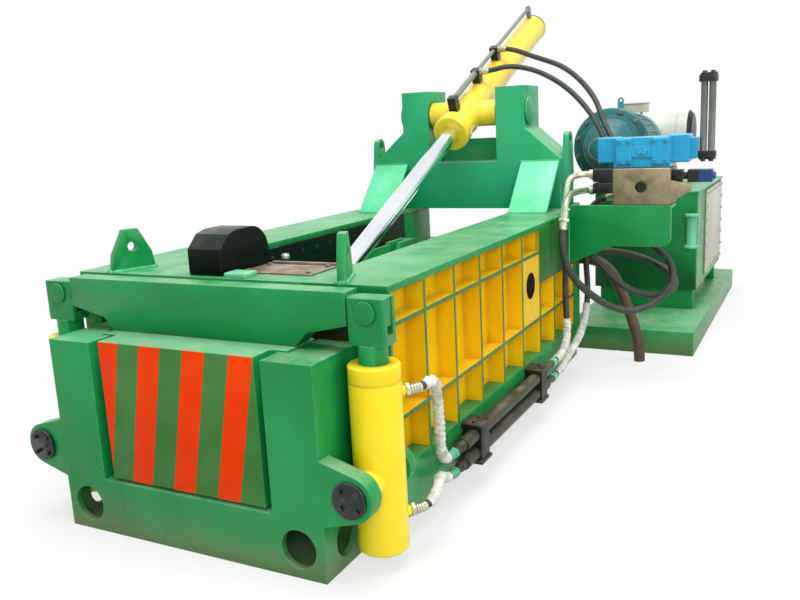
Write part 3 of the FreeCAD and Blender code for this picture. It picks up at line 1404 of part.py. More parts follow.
def side_valves():
    """The coil valve at the manifold's right end and the two valve blocks at its left end."""
    block_start = MANIFOLD_RIGHT
    block = box(
        (block_start, block_start + 60), (SOLENOID_Y - 34, SOLENOID_Y + 34),
        (SOLENOID_Z - 36, SOLENOID_Z + 36),
    )
    stem = bar(
        (block_start, SOLENOID_Y, SOLENOID_Z), (1, 0, 0), SOLENOID_STEM_R, SOLENOID_END - block_start
    )
    coil = box(
        (block_start + 84, SOLENOID_END - 14), (SOLENOID_Y - SOLENOID_HALF, SOLENOID_Y + SOLENOID_HALF),
        (SOLENOID_Z - SOLENOID_HALF, SOLENOID_Z + SOLENOID_HALF),
    )
    pieces = [block, stem, coil.makeFillet(7, coil.Edges)]
    for low, high in BLOCK_HEIGHTS:
        left = box(
            (MANIFOLD_LEFT - BLOCK_LENGTH, MANIFOLD_LEFT),
            (ELBOW_Y - BLOCK_HALF, ELBOW_Y + BLOCK_HALF), (low, high),
        )
        pieces.append(left.makeChamfer(4, left.Edges))
    return Part.makeCompound([joined(*pieces[:3])] + pieces[3:])


def twin_tubes():
    first = VALVE_RIGHT + TUBE_GAP + TUBE_R
    y = VALVE_FRONT + VALVE_DEPTH / 2
    clamp_x = (VALVE_RIGHT, first + TUBE_PITCH + TUBE_R + 8)
    clamp_y = (y - TUBE_R - 8, y + TUBE_R + 8)
    pieces = [
        box(clamp_x, clamp_y, (TUBE_BOTTOM, TUBE_BOTTOM + TUBE_CLAMP)),
        box((first - TUBE_R - 8, clamp_x[1]), clamp_y, (TUBE_TOP - TUBE_CLAMP, TUBE_TOP)),
    ]
    for x in (first, first + TUBE_PITCH):
        pieces.append(bar((x, y, TUBE_BOTTOM), (0, 0, 1), TUBE_R, TUBE_TOP - TUBE_BOTTOM))
    return joined(*pieces)


def return_valve():
    barrel = turned(
        [
            (RETURN_BOTTOM, 0), (RETURN_BOTTOM, RETURN_R + 14), (RETURN_BOTTOM + 18, RETURN_R + 14),
            (RETURN_BOTTOM + 18, RETURN_R), (RETURN_TOP - 18, RETURN_R),
            (RETURN_TOP - 18, RETURN_R + 14), (RETURN_TOP, RETURN_R + 14), (RETURN_TOP, 0),
        ],
        (RETURN_X, RETURN_Y, 0), (0, 0, 1),
    )
    arms = [
        bar((RETURN_X, RETURN_Y, height), (0, 1, 0), RETURN_R / 2, TANK_FRONT - RETURN_Y)
        for height in (RETURN_BOTTOM + 70, RETURN_TOP - 70)
    ]
    return joined(barrel, *arms)


def manifold_elbows():
    """Two bent steel pipes from the manifold's left face, each between a nut and a ferrule."""
    elbows = []
    for name, points in ELBOWS.items():
        pipe = tube(name, points, ELBOW_R)
        nut = bar(points[0], (-1, 0, 0), ELBOW_R + 9, 24)
        end = V(*points[-1])
        back = (V(*points[-2]) - end).normalize()
        ferrule = Part.makeCylinder(ELBOW_R + 6, 40, end, back)
        elbows.append(joined(pipe, nut, ferrule))
    return Part.makeCompound(elbows)


# Pipes along the wall

def side_pipes():
    pipes = []
    front = SIDE_PIPE_FRONT
    rear = SIDE_PIPE_REAR
    for height in SIDE_PIPE_HEIGHTS:
        pipe = [
            (front - FRONT_FITTING, 0), (front - FRONT_FITTING, FITTING_R - 4),
            (front - 40, FITTING_R - 4), (front - 40, FITTING_R), (front, FITTING_R),
            (front, SIDE_PIPE_R), (rear, SIDE_PIPE_R), (rear, FITTING_R), (rear + 40, FITTING_R),
            (rear + 40, FITTING_R - 4), (rear + REAR_FITTING, FITTING_R - 4),
            (rear + REAR_FITTING, 0),
        ]
        pipes.append(turned(pipe, (SIDE_PIPE_X, 0, height), (0, 1, 0)))
    return Part.makeCompound(pipes)


def pipe_brackets():
    clamps = []
    for start in CLAMP_STARTS:
        block = box(
            (WALL_OUTER, CLAMP_OUTER), (start, start + CLAMP_LENGTH), (CLAMP_BOTTOM, CLAMP_TOP)
        )
        for height in SIDE_PIPE_HEIGHTS:
            block = block.cut(
                bar((SIDE_PIPE_X, start - 1, height), (0, 1, 0), SIDE_PIPE_R + SEAT,
                    CLAMP_LENGTH + 2)
            )
        clamps.append(block)
    return Part.makeCompound(clamps)


# Hoses. Their points are chosen by hand along the routes that the hoses take.

BARREL_PORT = (GATE_BARREL_R + PORT_STUB) / math.sqrt(2)
BARREL_PORT_X = GATE_CYLINDER_X + BARREL_PORT
PIPE_FRONT = SIDE_PIPE_FRONT - FRONT_FITTING
PIPE_REAR = SIDE_PIPE_REAR + REAR_FITTING
FOOT_PORT_X = WALL_OUTER + BRACKET_FOOT + PORT_STUB
VALVE_PORT_Y = VALVE_FRONT + VALVE_DEPTH + PORT_STUB

ELBOWS = {
    "upper elbow": [
        (MANIFOLD_LEFT - BLOCK_LENGTH, ELBOW_Y, 1265.0),
        (850.0, ELBOW_Y, 1265.0),
        (799.0, 2375.0, 1250.0),
        (797.0, 2325.0, 1170.0),
        (797.0, 2300.0, 1080.0),
    ],
    "lower elbow": [
        (MANIFOLD_LEFT - BLOCK_LENGTH, ELBOW_Y, 1171.0),
        (886.0, ELBOW_Y, 1171.0),
        (853.0, 2330.0, 1171.0),
        (850.0, 2220.0, 1166.0),
        (848.0, 2140.0, 1130.0),
        (846.0, 2100.0, 1040.0),
    ],
}

HOSES = {
    "gate_hose_upper": (PRESS_HOSE_R, [
        (BARREL_PORT_X, BARREL_PORT, GATE_PORT_HEIGHTS[1]),
        (BARREL_PORT_X + 42.0, BARREL_PORT + 42.0, GATE_PORT_HEIGHTS[1]),
        (894.0, 184.0, 676.0),
        (885.0, 240.0, 634.0),
        (868.0, 278.0, 570.0),
        (860.0, 308.0, 495.0),
        (854.0, 322.0, 420.0),
        (846.0, 340.0, 345.0),
        (838.0, 380.0, 282.0),
        (SIDE_PIPE_X, 440.0, SIDE_PIPE_HEIGHTS[1]),
        (SIDE_PIPE_X, PIPE_FRONT, SIDE_PIPE_HEIGHTS[1]),
    ]),
    "gate_hose_lower": (PRESS_HOSE_R, [
        (BARREL_PORT_X, BARREL_PORT, GATE_PORT_HEIGHTS[0]),
        (BARREL_PORT_X + 42.0, BARREL_PORT + 42.0, GATE_PORT_HEIGHTS[0]),
        (892.0, 184.0, 214.0),
        (878.0, 245.0, 236.0),
        (854.0, 305.0, 230.0),
        (840.0, 375.0, 200.0),
        (SIDE_PIPE_X, 445.0, SIDE_PIPE_HEIGHTS[0]),
        (SIDE_PIPE_X, PIPE_FRONT, SIDE_PIPE_HEIGHTS[0]),
    ]),
    "supply_hose_upper": (SUPPLY_HOSE_R, [
        ELBOWS["upper elbow"][-1],
        (797.0, 2275.0, 990.0),
        (798.0, 2270.0, 900.0),
        (799.0, 2282.0, 795.0),
        (800.0, 2284.0, 690.0),
        (804.0, 2264.0, 580.0),
        (812.0, 2246.0, 475.0),
        (824.0, 2230.0, 384.0),
        (831.0, 2182.0, 308.0),
        (832.0, 2108.0, 264.0),
        (831.0, 2028.0, 252.0),
        (SIDE_PIPE_X, 1950.0, SIDE_PIPE_HEIGHTS[1]),
        (SIDE_PIPE_X, PIPE_REAR, SIDE_PIPE_HEIGHTS[1]),
    ]),
    "supply_hose_lower": (SUPPLY_HOSE_R, [
        (SIDE_PIPE_X, PIPE_REAR, SIDE_PIPE_HEIGHTS[0]),
        (SIDE_PIPE_X, 1960.0, SIDE_PIPE_HEIGHTS[0]),
        (830.0, 2070.0, 176.0),
        (831.0, 2190.0, 206.0),
        (832.0, 2320.0, 232.0),
        (832.0, 2450.0, 258.0),
        (831.0, 2570.0, 316.0),
        (830.0, 2655.0, 412.0),
        (829.0, 2684.0, 530.0),
        (828.0, 2660.0, 650.0),
        (827.0, 2632.0, 765.0),
        (826.0, 2612.0, 865.0),
        (826.0, 2600.0, 960.0),
        (857.0, 2594.0, 1034.0),
        (913.0, 2591.0, 1090.0),
        (983.0, HOSE_PORT_Y - 10.0, SUPPLY_PORT_Z),
        (MANIFOLD_LEFT - PORT_STUB, HOSE_PORT_Y - 10.0, SUPPLY_PORT_Z),
    ]),
    "loop_hose_outer": (LOOP_HOSE_R, [
        ELBOWS["lower elbow"][-1],
        (844.2, 2064.0, 959.0),
        (846.0, 2070.0, 860.0),
        (858.0, 2110.0, 765.0),
        (890.0, 2175.0, 672.0),
        (950.0, 2260.0, 580.0),
        (1040.0, 2340.0, 497.0),
        (1143.0, 2400.0, 452.0),
        (1250.0, 2455.0, 478.0),
        (1343.0, 2515.0, 545.0),
        (1378.0, 2568.0, 650.0),
        (1338.0, 2598.0, 752.0),
        (1248.0, 2612.0, 812.0),
        (1188.0, 2612.0, 890.0),
        (OUTER_PORT_X, HOSE_PORT_Y, 982.0),
        (OUTER_PORT_X, HOSE_PORT_Y, MANIFOLD_BOTTOM - PORT_STUB),
    ]),
    "loop_hose_inner": (LOOP_HOSE_R, [
        (FOOT_PORT_X, FOOT_PORT_Y, FOOT_PORT_Z),
        (853.0, FOOT_PORT_Y, FOOT_PORT_Z),
        (908.0, 2500.0, 766.0),
        (958.0, 2498.0, 714.0),
        (1016.0, 2496.0, 650.0),
        (1092.0, 2500.0, 588.0),
        (1184.0, 2512.0, 542.0),
        (1285.0, 2535.0, 528.0),
        (1358.0, 2608.0, 548.0),
        (1368.0, 2713.0, 590.0),
        (1306.0, 2803.0, 635.0),
        (1200.0, 2842.0, 685.0),
        (1090.0, 2840.0, 724.0),
        (980.0, 2812.0, 748.0),
        (880.0, 2788.0, 754.0),
        (790.0, HEAD_PORT_Y, HEAD_PORT_Z),
        (HEAD_HALF_WIDTH + PORT_STUB, HEAD_PORT_Y, HEAD_PORT_Z),
    ]),
    "lid_hose_upper": (LID_HOSE_R, [
        along_link(PORT_BLOCKS[2], PORT_RISE, PORT_BLOCK / 2),
        along_link(PORT_BLOCKS[2], PORT_RISE, PORT_BLOCK / 2 + 75.0),
        (200.0, 3285.0, 2066.0),
        (300.0, 3228.0, 2026.0),
        (418.0, 3158.0, 1986.0),
        (545.0, 3082.0, 1940.0),
        (655.0, 3000.0, 1876.0),
        (757.0, 2915.0, 1794.0),
        (840.0, 2848.0, 1700.0),
        (888.0, 2790.0, 1606.0),
        (930.0, 2735.0, 1530.0),
        (978.0, 2688.0, 1470.0),
        (LID_PORT_X, 2645.0, LID_PORT_HEIGHTS[1]),
        (LID_PORT_X, VALVE_PORT_Y, LID_PORT_HEIGHTS[1]),
    ]),
    "lid_hose_lower": (LID_HOSE_R, [
        along_link(PORT_BLOCKS[1], PORT_RISE, PORT_BLOCK / 2),
        along_link(PORT_BLOCKS[1], PORT_RISE, PORT_BLOCK / 2 + 70.0),
        (200.0, 2985.0, 1956.0),
        (310.0, 3020.0, 1942.0),
        (430.0, 3010.0, 1902.0),
        (560.0, 2970.0, 1834.0),
        (670.0, 2920.0, 1756.0),
        (767.0, 2858.0, 1668.0),
        (844.0, 2790.0, 1586.0),
        (894.0, 2745.0, 1508.0),
        (934.0, 2706.0, 1443.0),
        (975.0, 2682.0, 1397.0),
        (LID_PORT_X, 2650.0, LID_PORT_HEIGHTS[0]),
        (LID_PORT_X, VALVE_PORT_Y, LID_PORT_HEIGHTS[0]),
    ]),
    "drain_conduit": (CONDUIT_R, [
        (HEAD_HALF_WIDTH + PORT_STUB, CONDUIT_Y, CONDUIT_Z),
        (800.0, CONDUIT_Y, CONDUIT_Z),
        (888.0, 2907.0, 640.0),
        (952.0, 2914.0, 562.0),
        (990.0, 2922.0, 462.0),
        (1034.0, 2928.0, 350.0),
        (1074.0, 2930.0, 235.0),
        (1104.0, 2928.0, 120.0),
        (1110.0, 2928.0, 2.0),
    ]),
}


def hose(name):
    radius, points = HOSES[name]
    return tube(name, points, radius)


PIECES = {
    "gate_frame": gate_frame,
    "trunnion_bearings": trunnion_bearings,
    "trunnion_caps": trunnion_caps,
    "trunnion_cap_bolts": trunnion_cap_bolts,
    "gate_cylinder_right": gate_cylinder,
    "gate_slab": gate_slab,
    "gate_crossbeam": gate_crossbeam,
    "gate_rod_right": gate_rod,
    "clevis_pins": clevis_pins,
    "side_wall_right": side_wall,
    "top_beam_right": top_beam,
    "skid_beams": skid_beams,
    "chamber_floor": chamber_floor,
    "wall_blades": wall_blades,
    "front_cover_plate": front_cover_plate,
    "guard_hood": guard_hood,
    "rear_crosshead": rear_crosshead,
    "lid_hinge_pin": lid_hinge_pin,
    "gantry_frame": gantry_frame,
    "gantry_gussets": gantry_gussets,
    "lid_trunnion_caps": lid_trunnion_caps,
    "press_lid": press_lid,
    "lid_cylinder": lid_cylinder,
    "lid_cylinder_pipes": lid_cylinder_pipes,
    "lid_rod": lid_rod,
    "lid_rod_pin": lid_rod_pin,
    "ram_head": ram_head,
    "ram_rod": ram_rod,
    "main_cylinder": main_cylinder,
    "cylinder_saddle": cylinder_saddle,
    "power_base": power_base,
    "oil_tank": oil_tank,
    "tank_cover": tank_cover,
    "tank_cover_bolts": tank_cover_bolts,
    "main_motor": main_motor,
    "second_motor": second_motor,
    "terminal_box": terminal_box,
    "main_pump": main_pump,
    "valve_bracket": valve_bracket,
    "valve_manifold": valve_manifold,
    "directional_valve": directional_valve,
    "side_valves": side_valves,
    "twin_tubes": twin_tubes,
    "return_valve": return_valve,
    "manifold_elbows": manifold_elbows,
    "side_pipes": side_pipes,
    "pipe_brackets": pipe_brackets,
}

os.makedirs("parts", exist_ok=True)

for name, make in PIECES.items():
    shape = make()
    shape.exportStep("parts/" + name + ".step")
    if name.endswith("_right"):
        mirrored(shape).exportStep("parts/" + name.replace("_right", "_left") + ".step")

for name in HOSES:
    hose(name).exportStep("parts/" + name + ".step")
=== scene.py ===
import json
import math

import bmesh
import bpy
from mathutils import Matrix, Vector, noise

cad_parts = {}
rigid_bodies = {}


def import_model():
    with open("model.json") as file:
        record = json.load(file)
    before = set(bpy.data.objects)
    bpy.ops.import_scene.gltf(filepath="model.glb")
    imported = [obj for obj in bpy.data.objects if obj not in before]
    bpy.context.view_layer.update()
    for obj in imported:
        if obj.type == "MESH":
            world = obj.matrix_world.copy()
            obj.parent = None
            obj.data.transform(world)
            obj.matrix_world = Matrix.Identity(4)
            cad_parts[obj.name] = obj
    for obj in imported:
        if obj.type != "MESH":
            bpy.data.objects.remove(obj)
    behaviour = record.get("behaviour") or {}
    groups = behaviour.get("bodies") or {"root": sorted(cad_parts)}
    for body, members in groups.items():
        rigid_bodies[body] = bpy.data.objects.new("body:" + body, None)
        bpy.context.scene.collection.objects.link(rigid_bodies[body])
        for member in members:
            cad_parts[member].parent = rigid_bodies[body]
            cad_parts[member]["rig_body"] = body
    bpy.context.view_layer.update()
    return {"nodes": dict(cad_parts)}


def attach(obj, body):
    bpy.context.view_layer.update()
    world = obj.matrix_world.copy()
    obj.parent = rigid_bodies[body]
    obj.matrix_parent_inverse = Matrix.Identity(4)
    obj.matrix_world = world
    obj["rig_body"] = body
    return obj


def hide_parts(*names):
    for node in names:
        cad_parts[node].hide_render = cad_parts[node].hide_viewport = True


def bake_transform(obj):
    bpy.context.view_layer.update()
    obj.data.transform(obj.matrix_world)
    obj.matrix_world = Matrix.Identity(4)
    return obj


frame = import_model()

NODES = frame["nodes"]
ROOT = "press"
LID_BARREL = "lid_cylinder_barrel"

# Camera

CAMERA_PLACE = Vector((2.171, -2.477, 1.601))
CAMERA_YAW = 0.482
CAMERA_PITCH = -0.207
CAMERA_ROLL = -0.050
CAMERA_LENS = 37.33
CAMERA_SENSOR = 36.0
CAMERA_REACH = 200.0


def add(name, data):
    """A new object in the scene."""
    piece = bpy.data.objects.new(name, data)
    bpy.context.scene.collection.objects.link(piece)
    return piece


def set_camera():
    """The camera at the photograph's place, turned by its yaw, pitch and roll."""
    level = math.cos(CAMERA_PITCH)
    ahead = Vector((
        -math.sin(CAMERA_YAW) * level, math.cos(CAMERA_YAW) * level, math.sin(CAMERA_PITCH)
    ))
    right = Vector((math.cos(CAMERA_YAW), math.sin(CAMERA_YAW), 0.0))
    up = right.cross(ahead)
    rolled_right = math.cos(CAMERA_ROLL) * right + math.sin(CAMERA_ROLL) * up
    rolled_up = math.cos(CAMERA_ROLL) * up - math.sin(CAMERA_ROLL) * right
    turn = Matrix((rolled_right, rolled_up, -ahead)).transposed()
    data = bpy.data.cameras.new("camera")
    data.sensor_fit = "HORIZONTAL"
    data.sensor_width = CAMERA_SENSOR
    data.lens = CAMERA_LENS
    data.clip_end = CAMERA_REACH
    camera = add("camera", data)
    camera.matrix_world = Matrix.Translation(CAMERA_PLACE) @ turn.to_4x4()
    bpy.context.scene.camera = camera


set_camera()

# Material graphs


def srgb(red, green, blue):
    """A linear colour from the three 8-bit display values."""
    def linear(value):
        share = value / 255
        return share / 12.92 if share <= 0.04045 else ((share + 0.055) / 1.055) ** 2.4
    return (linear(red), linear(green), linear(blue), 1.0)


def shaded(colour, share, lift=0.0):
    """A colour darkened to a share of itself and made paler by the lift."""
    return tuple(channel * share + lift for channel in colour[:3]) + (1.0,)


WHITE = (1.0, 1.0, 1.0, 1.0)
MATERIALS = {}
EDGE_SAMPLES = 3
ROUND_SAMPLES = 4


class Nodes:
    """A tree's nodes. Inputs may be numbers, colours or other nodes' outputs."""

    def __init__(self, tree):
        self.tree = tree
        tree.nodes.clear()

    def node(self, kind, inputs=None, **settings):
        made = self.tree.nodes.new(kind)
        for key, value in settings.items():
            setattr(made, key, value)
        for key, value in (inputs or {}).items():
            self.put(made.inputs[key], value)
        return made

    def put(self, socket, value):
        if isinstance(value, bpy.types.NodeSocket):
            self.tree.links.new(value, socket)
        else:
            socket.default_value = value

    def math(self, operation, a, b=0.0, c=0.0):
        return self.node("ShaderNodeMath", {0: a, 1: b, 2: c}, operation=operation).outputs[0]

    def seen_directly(self):
        """1 for rays from the camera, a shiny face or glass, 0 for all others."""
        rays = self.node("ShaderNodeLightPath").outputs
        either = self.math("MAXIMUM", rays["Is Camera Ray"], rays["Is Glossy Ray"])
        return self.math("MAXIMUM", either, rays["Is Transmission Ray"])


class Graph(Nodes):
    """A material's nodes."""

    def __init__(self, name):
        self.name = name
        self.material = bpy.data.materials.new(name)
        self.material.use_nodes = True
        super().__init__(self.material.node_tree)
        self.surface = self.node("ShaderNodeBsdfPrincipled")
        self.out = self.node("ShaderNodeOutputMaterial", {"Surface": self.surface.outputs[0]})
        self.place = self.node("ShaderNodeTexCoord").outputs["Object"]
        self.axes = self.node("ShaderNodeSeparateXYZ", {"Vector": self.place}).outputs
        self.normal = self.node("ShaderNodeNewGeometry").outputs["Normal"]
        self.facing = self.node("ShaderNodeSeparateXYZ", {"Vector": self.normal}).outputs

    def noise(self, scale, detail=3.0, roughness=0.5, vector=None):
        return self.node("ShaderNodeTexNoise", {
            "Vector": vector or self.place, "Scale": scale, "Detail": detail,
            "Roughness": roughness,
        }).outputs[0]

    def stretched(self, *scale):
        """The place with each axis scaled."""
        return self.node("ShaderNodeMapping", {"Vector": self.place, "Scale": scale}).outputs[0]

    def step(self, value, low, high, start=0.0, end=1.0):
        """Runs smoothly from start to end while the value goes from low to high."""
        return self.node("ShaderNodeMapRange", {
            "Value": value, "From Min": low, "From Max": high, "To Min": start, "To Max": end,
        }, interpolation_type="SMOOTHSTEP", clamp=True).outputs[0]

    def blotches(self, scale, detail, roughness, low, high, start=0.0, end=1.0):
        """A noise as patches, which run from start to end between its low and high level."""
        return self.step(self.noise(scale, detail, roughness), low, high, start, end)

    def times(self, *values):
        result = values[0]
        for value in values[1:]:
            result = self.math("MULTIPLY", result, value)
        return result

    def mix(self, share, a, b):
        return self.node("ShaderNodeMix", {0: share, 6: a, 7: b}, data_type="RGBA").outputs[2]

    def cavity(self, distance):
        """1 in tight corners, 0 on open faces."""
        shade = self.node(
            "ShaderNodeAmbientOcclusion", {"Distance": distance}, samples=EDGE_SAMPLES)
        return self.step(shade.outputs["AO"], 0.35, 0.85, 1.0, 0.0)

    def rounded(self, width, samples):
        """The normal, rounded over edges."""
        return self.node("ShaderNodeBevel", {"Radius": width}, samples=samples).outputs[0]

    def edge(self, width):
        """1 along edges, 0 on flat faces."""
        same = self.node(
            "ShaderNodeVectorMath", {0: self.rounded(width, EDGE_SAMPLES), 1: self.normal},
            operation="DOT_PRODUCT",
        ).outputs["Value"]
        return self.step(same, 0.995, 0.90)

    def bump(self, height, strength, distance, normal=None):
        inputs = {"Height": height, "Strength": strength, "Distance": distance}
        if normal is not None:
            inputs["Normal"] = normal
        return self.node("ShaderNodeBump", inputs).outputs[0]

    def finish(self, **inputs):
        """Sets the surface's inputs and keeps the material under its name."""
        for key, value in inputs.items():
            self.put(self.surface.inputs[key.replace("_", " ")], value)
        MATERIALS[self.name] = self.material


DUST = srgb(188, 172, 150)
MUD = srgb(122, 100, 72)
RUST = srgb(139, 88, 52)
SCUFF = srgb(176, 128, 108)


def enamel(
    name, colour, faded, dust=0.3, splash=0.0, edge_wear_and_highlight=0.35, grime_and_shade=0.5, grime_and_shade_colour=None, rough=0.33,
    coat=0.08, top_sheen=None, regions=None, shine=0.3, sheen_range=(0.10, 0.42),
):
    """Brushed machine paint: faded patches, runs, dusty tops with a painted pale sheen for sky
    light, grime mixed with painted shade in corners, and pale edges that are partly wear and partly
    painted highlight. The regions repaint parts of the piece by their place."""
    g = Graph(name)
    tone = g.mix(g.blotches(1.7, 4.0, 0.6, 0.34, 0.66), colour, faded)
    runs = g.noise(1.0, 5.0, 0.65, g.stretched(26.0, 26.0, 2.2))
    dark = shaded(colour, 0.72)
    upright = g.step(g.math("ABSOLUTE", g.facing["Z"]), 0.6, 0.2)
    tone = g.mix(g.times(g.step(runs, 0.56, 0.75), upright, 0.35), tone, dark)
    specks = g.blotches(55.0, 3.0, 0.7, 0.66, 0.74)
    tone = g.mix(g.times(specks, 0.30), tone, dark)
    level = g.step(g.facing["Z"], 0.55, 0.92)
    drift = g.noise(7.0, 8.0, 0.68)
    if regions:
        tone = regions(g, tone)
    # Painted sheen: up-facing faces lightened in patches towards a pale colour, for sky light on
    # the tops
    if top_sheen:
        sheen_patches = g.blotches(1.9, 5.0, 0.6, 0.34, 0.72, *sheen_range)
        tone = g.mix(g.times(level, sheen_patches), tone, top_sheen)
    settled = g.times(level, g.step(drift, 0.36, 0.76), dust)
    tone = g.mix(settled, tone, DUST)
    if splash:
        height = g.math("ADD", g.axes["Z"], g.math("MULTIPLY", g.noise(11.0, 5.0, 0.7), -0.22))
        tone = g.mix(g.step(height, 0.10, -0.14, 0.0, splash), tone, MUD)
    # Grime and painted shade: tight corners darkened in patches towards a darker tone
    corner = g.cavity(0.05)
    grime_and_shade_tone = grime_and_shade_colour or shaded(colour, 0.35)
    tone = g.mix(g.times(corner, g.step(drift, 0.25, 0.6), grime_and_shade), tone, grime_and_shade_tone)
    # Wear and painted highlight: edges lightened towards a paler paint, with pink-brown scuffs in
    # places
    pale = shaded(faded, 0.55, 0.38)
    chips = g.noise(24.0, 6.0, 0.75)
    edge_scuffs_and_highlight = g.times(g.edge(0.006), g.step(chips, 0.38, 0.62), edge_wear_and_highlight)
    tone = g.mix(edge_scuffs_and_highlight, tone, g.mix(g.step(chips, 0.60, 0.70), pale, SCUFF))
    uneven = g.blotches(14.0, 6.0, 0.7, 0.3, 0.7, rough - 0.07, rough + 0.14)
    polish = g.math("ADD", uneven, g.times(settled, 0.8))
    peel = g.bump(g.noise(320.0, 2.0, 0.5), 0.05, 0.0006, g.rounded(0.004, ROUND_SAMPLES))
    waves = g.bump(g.noise(6.0, 2.0, 0.5), 0.10, 0.004, peel)
    g.finish(
        Base_Color=tone, Roughness=polish, Normal=waves, Coat_Weight=coat, Coat_Roughness=0.22,
        Specular_IOR_Level=shine,
    )


GREEN = srgb(9, 134, 63)
GREEN_FADED = srgb(24, 152, 79)
# painted sheen: the pale mint that up-facing green faces are lightened towards, for sky light on
# them
SHEEN_MINT = srgb(142, 214, 170)
# painted light: a lighter copy of the green, for the gantry and other high parts that stand in more
# light
LIT_GREEN = srgb(22, 154, 98)
LIT_GREEN_FADED = srgb(42, 170, 116)
YELLOW = srgb(254, 222, 18)
YELLOW_FADED = srgb(255, 229, 40)
# painted shade: a darker, more orange copy of the yellow paint, for the walls' recessed bays
YELLOW_SHADED = srgb(238, 190, 5)
YELLOW_SHADED_FADED = srgb(248, 208, 16)
LINER = srgb(8, 28, 19)
RIB_GREEN = srgb(46, 112, 44)
SATIN_BLACK = srgb(10, 16, 13)
BLACK = srgb(12, 20, 16)
BLACK_FADED = srgb(22, 32, 26)
YELLOW_GRIME_AND_SHADE = srgb(150, 112, 20)
SOOT_AND_SHADE = (0.02, 0.018, 0.015, 1.0)

# borders between colours on one piece, from where a change starts to where it ends
WALL_INSIDE = (0.6745, 0.6735)
WALL_RIB = (0.7722, 0.7732)
WALL_FOOT = (0.3175, 0.3165)
WALL_FRONT = (0.1175, 0.1165)
SHOULDER_SIDE = (0.752, 0.754)
SHOULDER_BACK = (1.863, 1.865)
SHOULDER_TOP = (0.706, 0.708)
TUBE_CLAMP_LOW = (1.382, 1.380)
TUBE_CLAMP_HIGH = (1.755, 1.757)
TANK_FRONT = (3.80, 3.79)
ELBOW_RUN = (1.235, 1.195)
COIL = (1.5185, 1.5195)
COWL = (1.196, 1.198)
COWL_FLANGE = (0.858, 0.856)
PORT_BLOCK = (0.028, 0.030)
STRIPE_FACE = (-0.2045, -0.2055)
STRIPE_FOOT = (0.2455, 0.2465)
STRIPE_HALF = (0.2485, 0.2515)


def wall_regions(g, yellow):
    """The ribbed walls: yellow bays, olive ribs and shoulder, green ends and dark inner plates."""
    across = g.math("ABSOLUTE", g.axes["X"])
    green = g.mix(g.blotches(2.3, 4.0, 0.6, 0.34, 0.66), GREEN, GREEN_FADED)
    rib = g.step(across, *WALL_RIB)
    low = g.step(g.axes["Z"], *WALL_FOOT)
    front = g.step(g.axes["Y"], *WALL_FRONT)
    shoulder = g.times(
        g.step(g.axes["Y"], *SHOULDER_BACK), g.step(g.axes["Z"], *SHOULDER_TOP),
        g.step(across, *SHOULDER_SIDE),
    )
    edges = g.mix(g.math("MAXIMUM", rib, shoulder), yellow, RIB_GREEN)
    tone = g.mix(g.math("MAXIMUM", low, front), edges, green)
    return g.mix(g.step(across, *WALL_INSIDE), tone, LINER)


LID_PIVOT = (2.755, 1.655)
LID_ROD_PIN = (0.980, 0.846)
LID_SLOPE = math.atan2(LID_PIVOT[1] - LID_ROD_PIN[1], LID_PIVOT[0] - LID_ROD_PIN[0])
LID_TAIL = 1.585
LID_RING = (LID_TAIL - 0.026, LID_TAIL - 0.024)
LID_BLOCKS = (-0.160, 0.290, 0.690)


def along_lid_cylinder(g):
    """The distance up the lid cylinder's axis from its trunnions."""
    back = g.times(g.math("SUBTRACT", g.axes["Y"], LID_PIVOT[0]), math.cos(LID_SLOPE))
    rise = g.times(g.math("SUBTRACT", g.axes["Z"], LID_PIVOT[1]), math.sin(LID_SLOPE))
    return g.math("ADD", back, rise)


def lid_barrel_regions(g, yellow):
    """A black end ring on the barrel."""
    return g.mix(g.step(along_lid_cylinder(g), *LID_RING), yellow, SATIN_BLACK)


def lid_pipe_regions(g, black):
    """Grey pipe between the black port blocks."""
    along = along_lid_cylinder(g)
    grey = 1.0
    for block in LID_BLOCKS:
        gap = g.math("ABSOLUTE", g.math("SUBTRACT", along, block))
        grey = g.times(grey, g.step(gap, *PORT_BLOCK))
    return g.mix(grey, black, srgb(122, 130, 122))


def tube_regions(g, grey):
    """Black clamps at the twin tubes' two ends."""
    low = g.step(g.axes["Z"], *TUBE_CLAMP_LOW)
    high = g.step(g.axes["Z"], *TUBE_CLAMP_HIGH)
    return g.mix(g.math("MAXIMUM", low, high), grey, SATIN_BLACK)


def tank_shade_regions(g, green):
    """Painted shade: the tank's front plate darkened low down and towards the left, behind the
    hoses.
    """
    front = g.step(g.axes["Y"], *TANK_FRONT)
    reach = g.math("ADD", g.axes["Z"], g.math("MULTIPLY", g.axes["X"], 0.55))
    reach = g.math("ADD", reach, g.times(g.noise(5.0, 5.0, 0.6), 0.25))
    return g.mix(g.times(front, g.step(reach, 1.50, 1.20, 0.0, 0.75)), green, srgb(6, 52, 26))


def elbow_regions(g, steel):
    """The elbows' painted lower runs."""
    return g.mix(g.step(g.axes["Z"], *ELBOW_RUN, 0.0, 0.6), steel, srgb(132, 178, 138))


def coil_regions(g, black):
    """The dark blue coil on the right end."""
    return g.mix(g.step(g.axes["X"], *COIL), black, srgb(16, 62, 112))


def cowl_regions(g, cream):
    """The second motor's black fan cowl and flange."""
    cowl = g.step(g.axes["X"], *COWL)
    flange = g.step(g.axes["X"], *COWL_FLANGE)
    return g.mix(g.math("MAXIMUM", cowl, flange), cream, SATIN_BLACK)


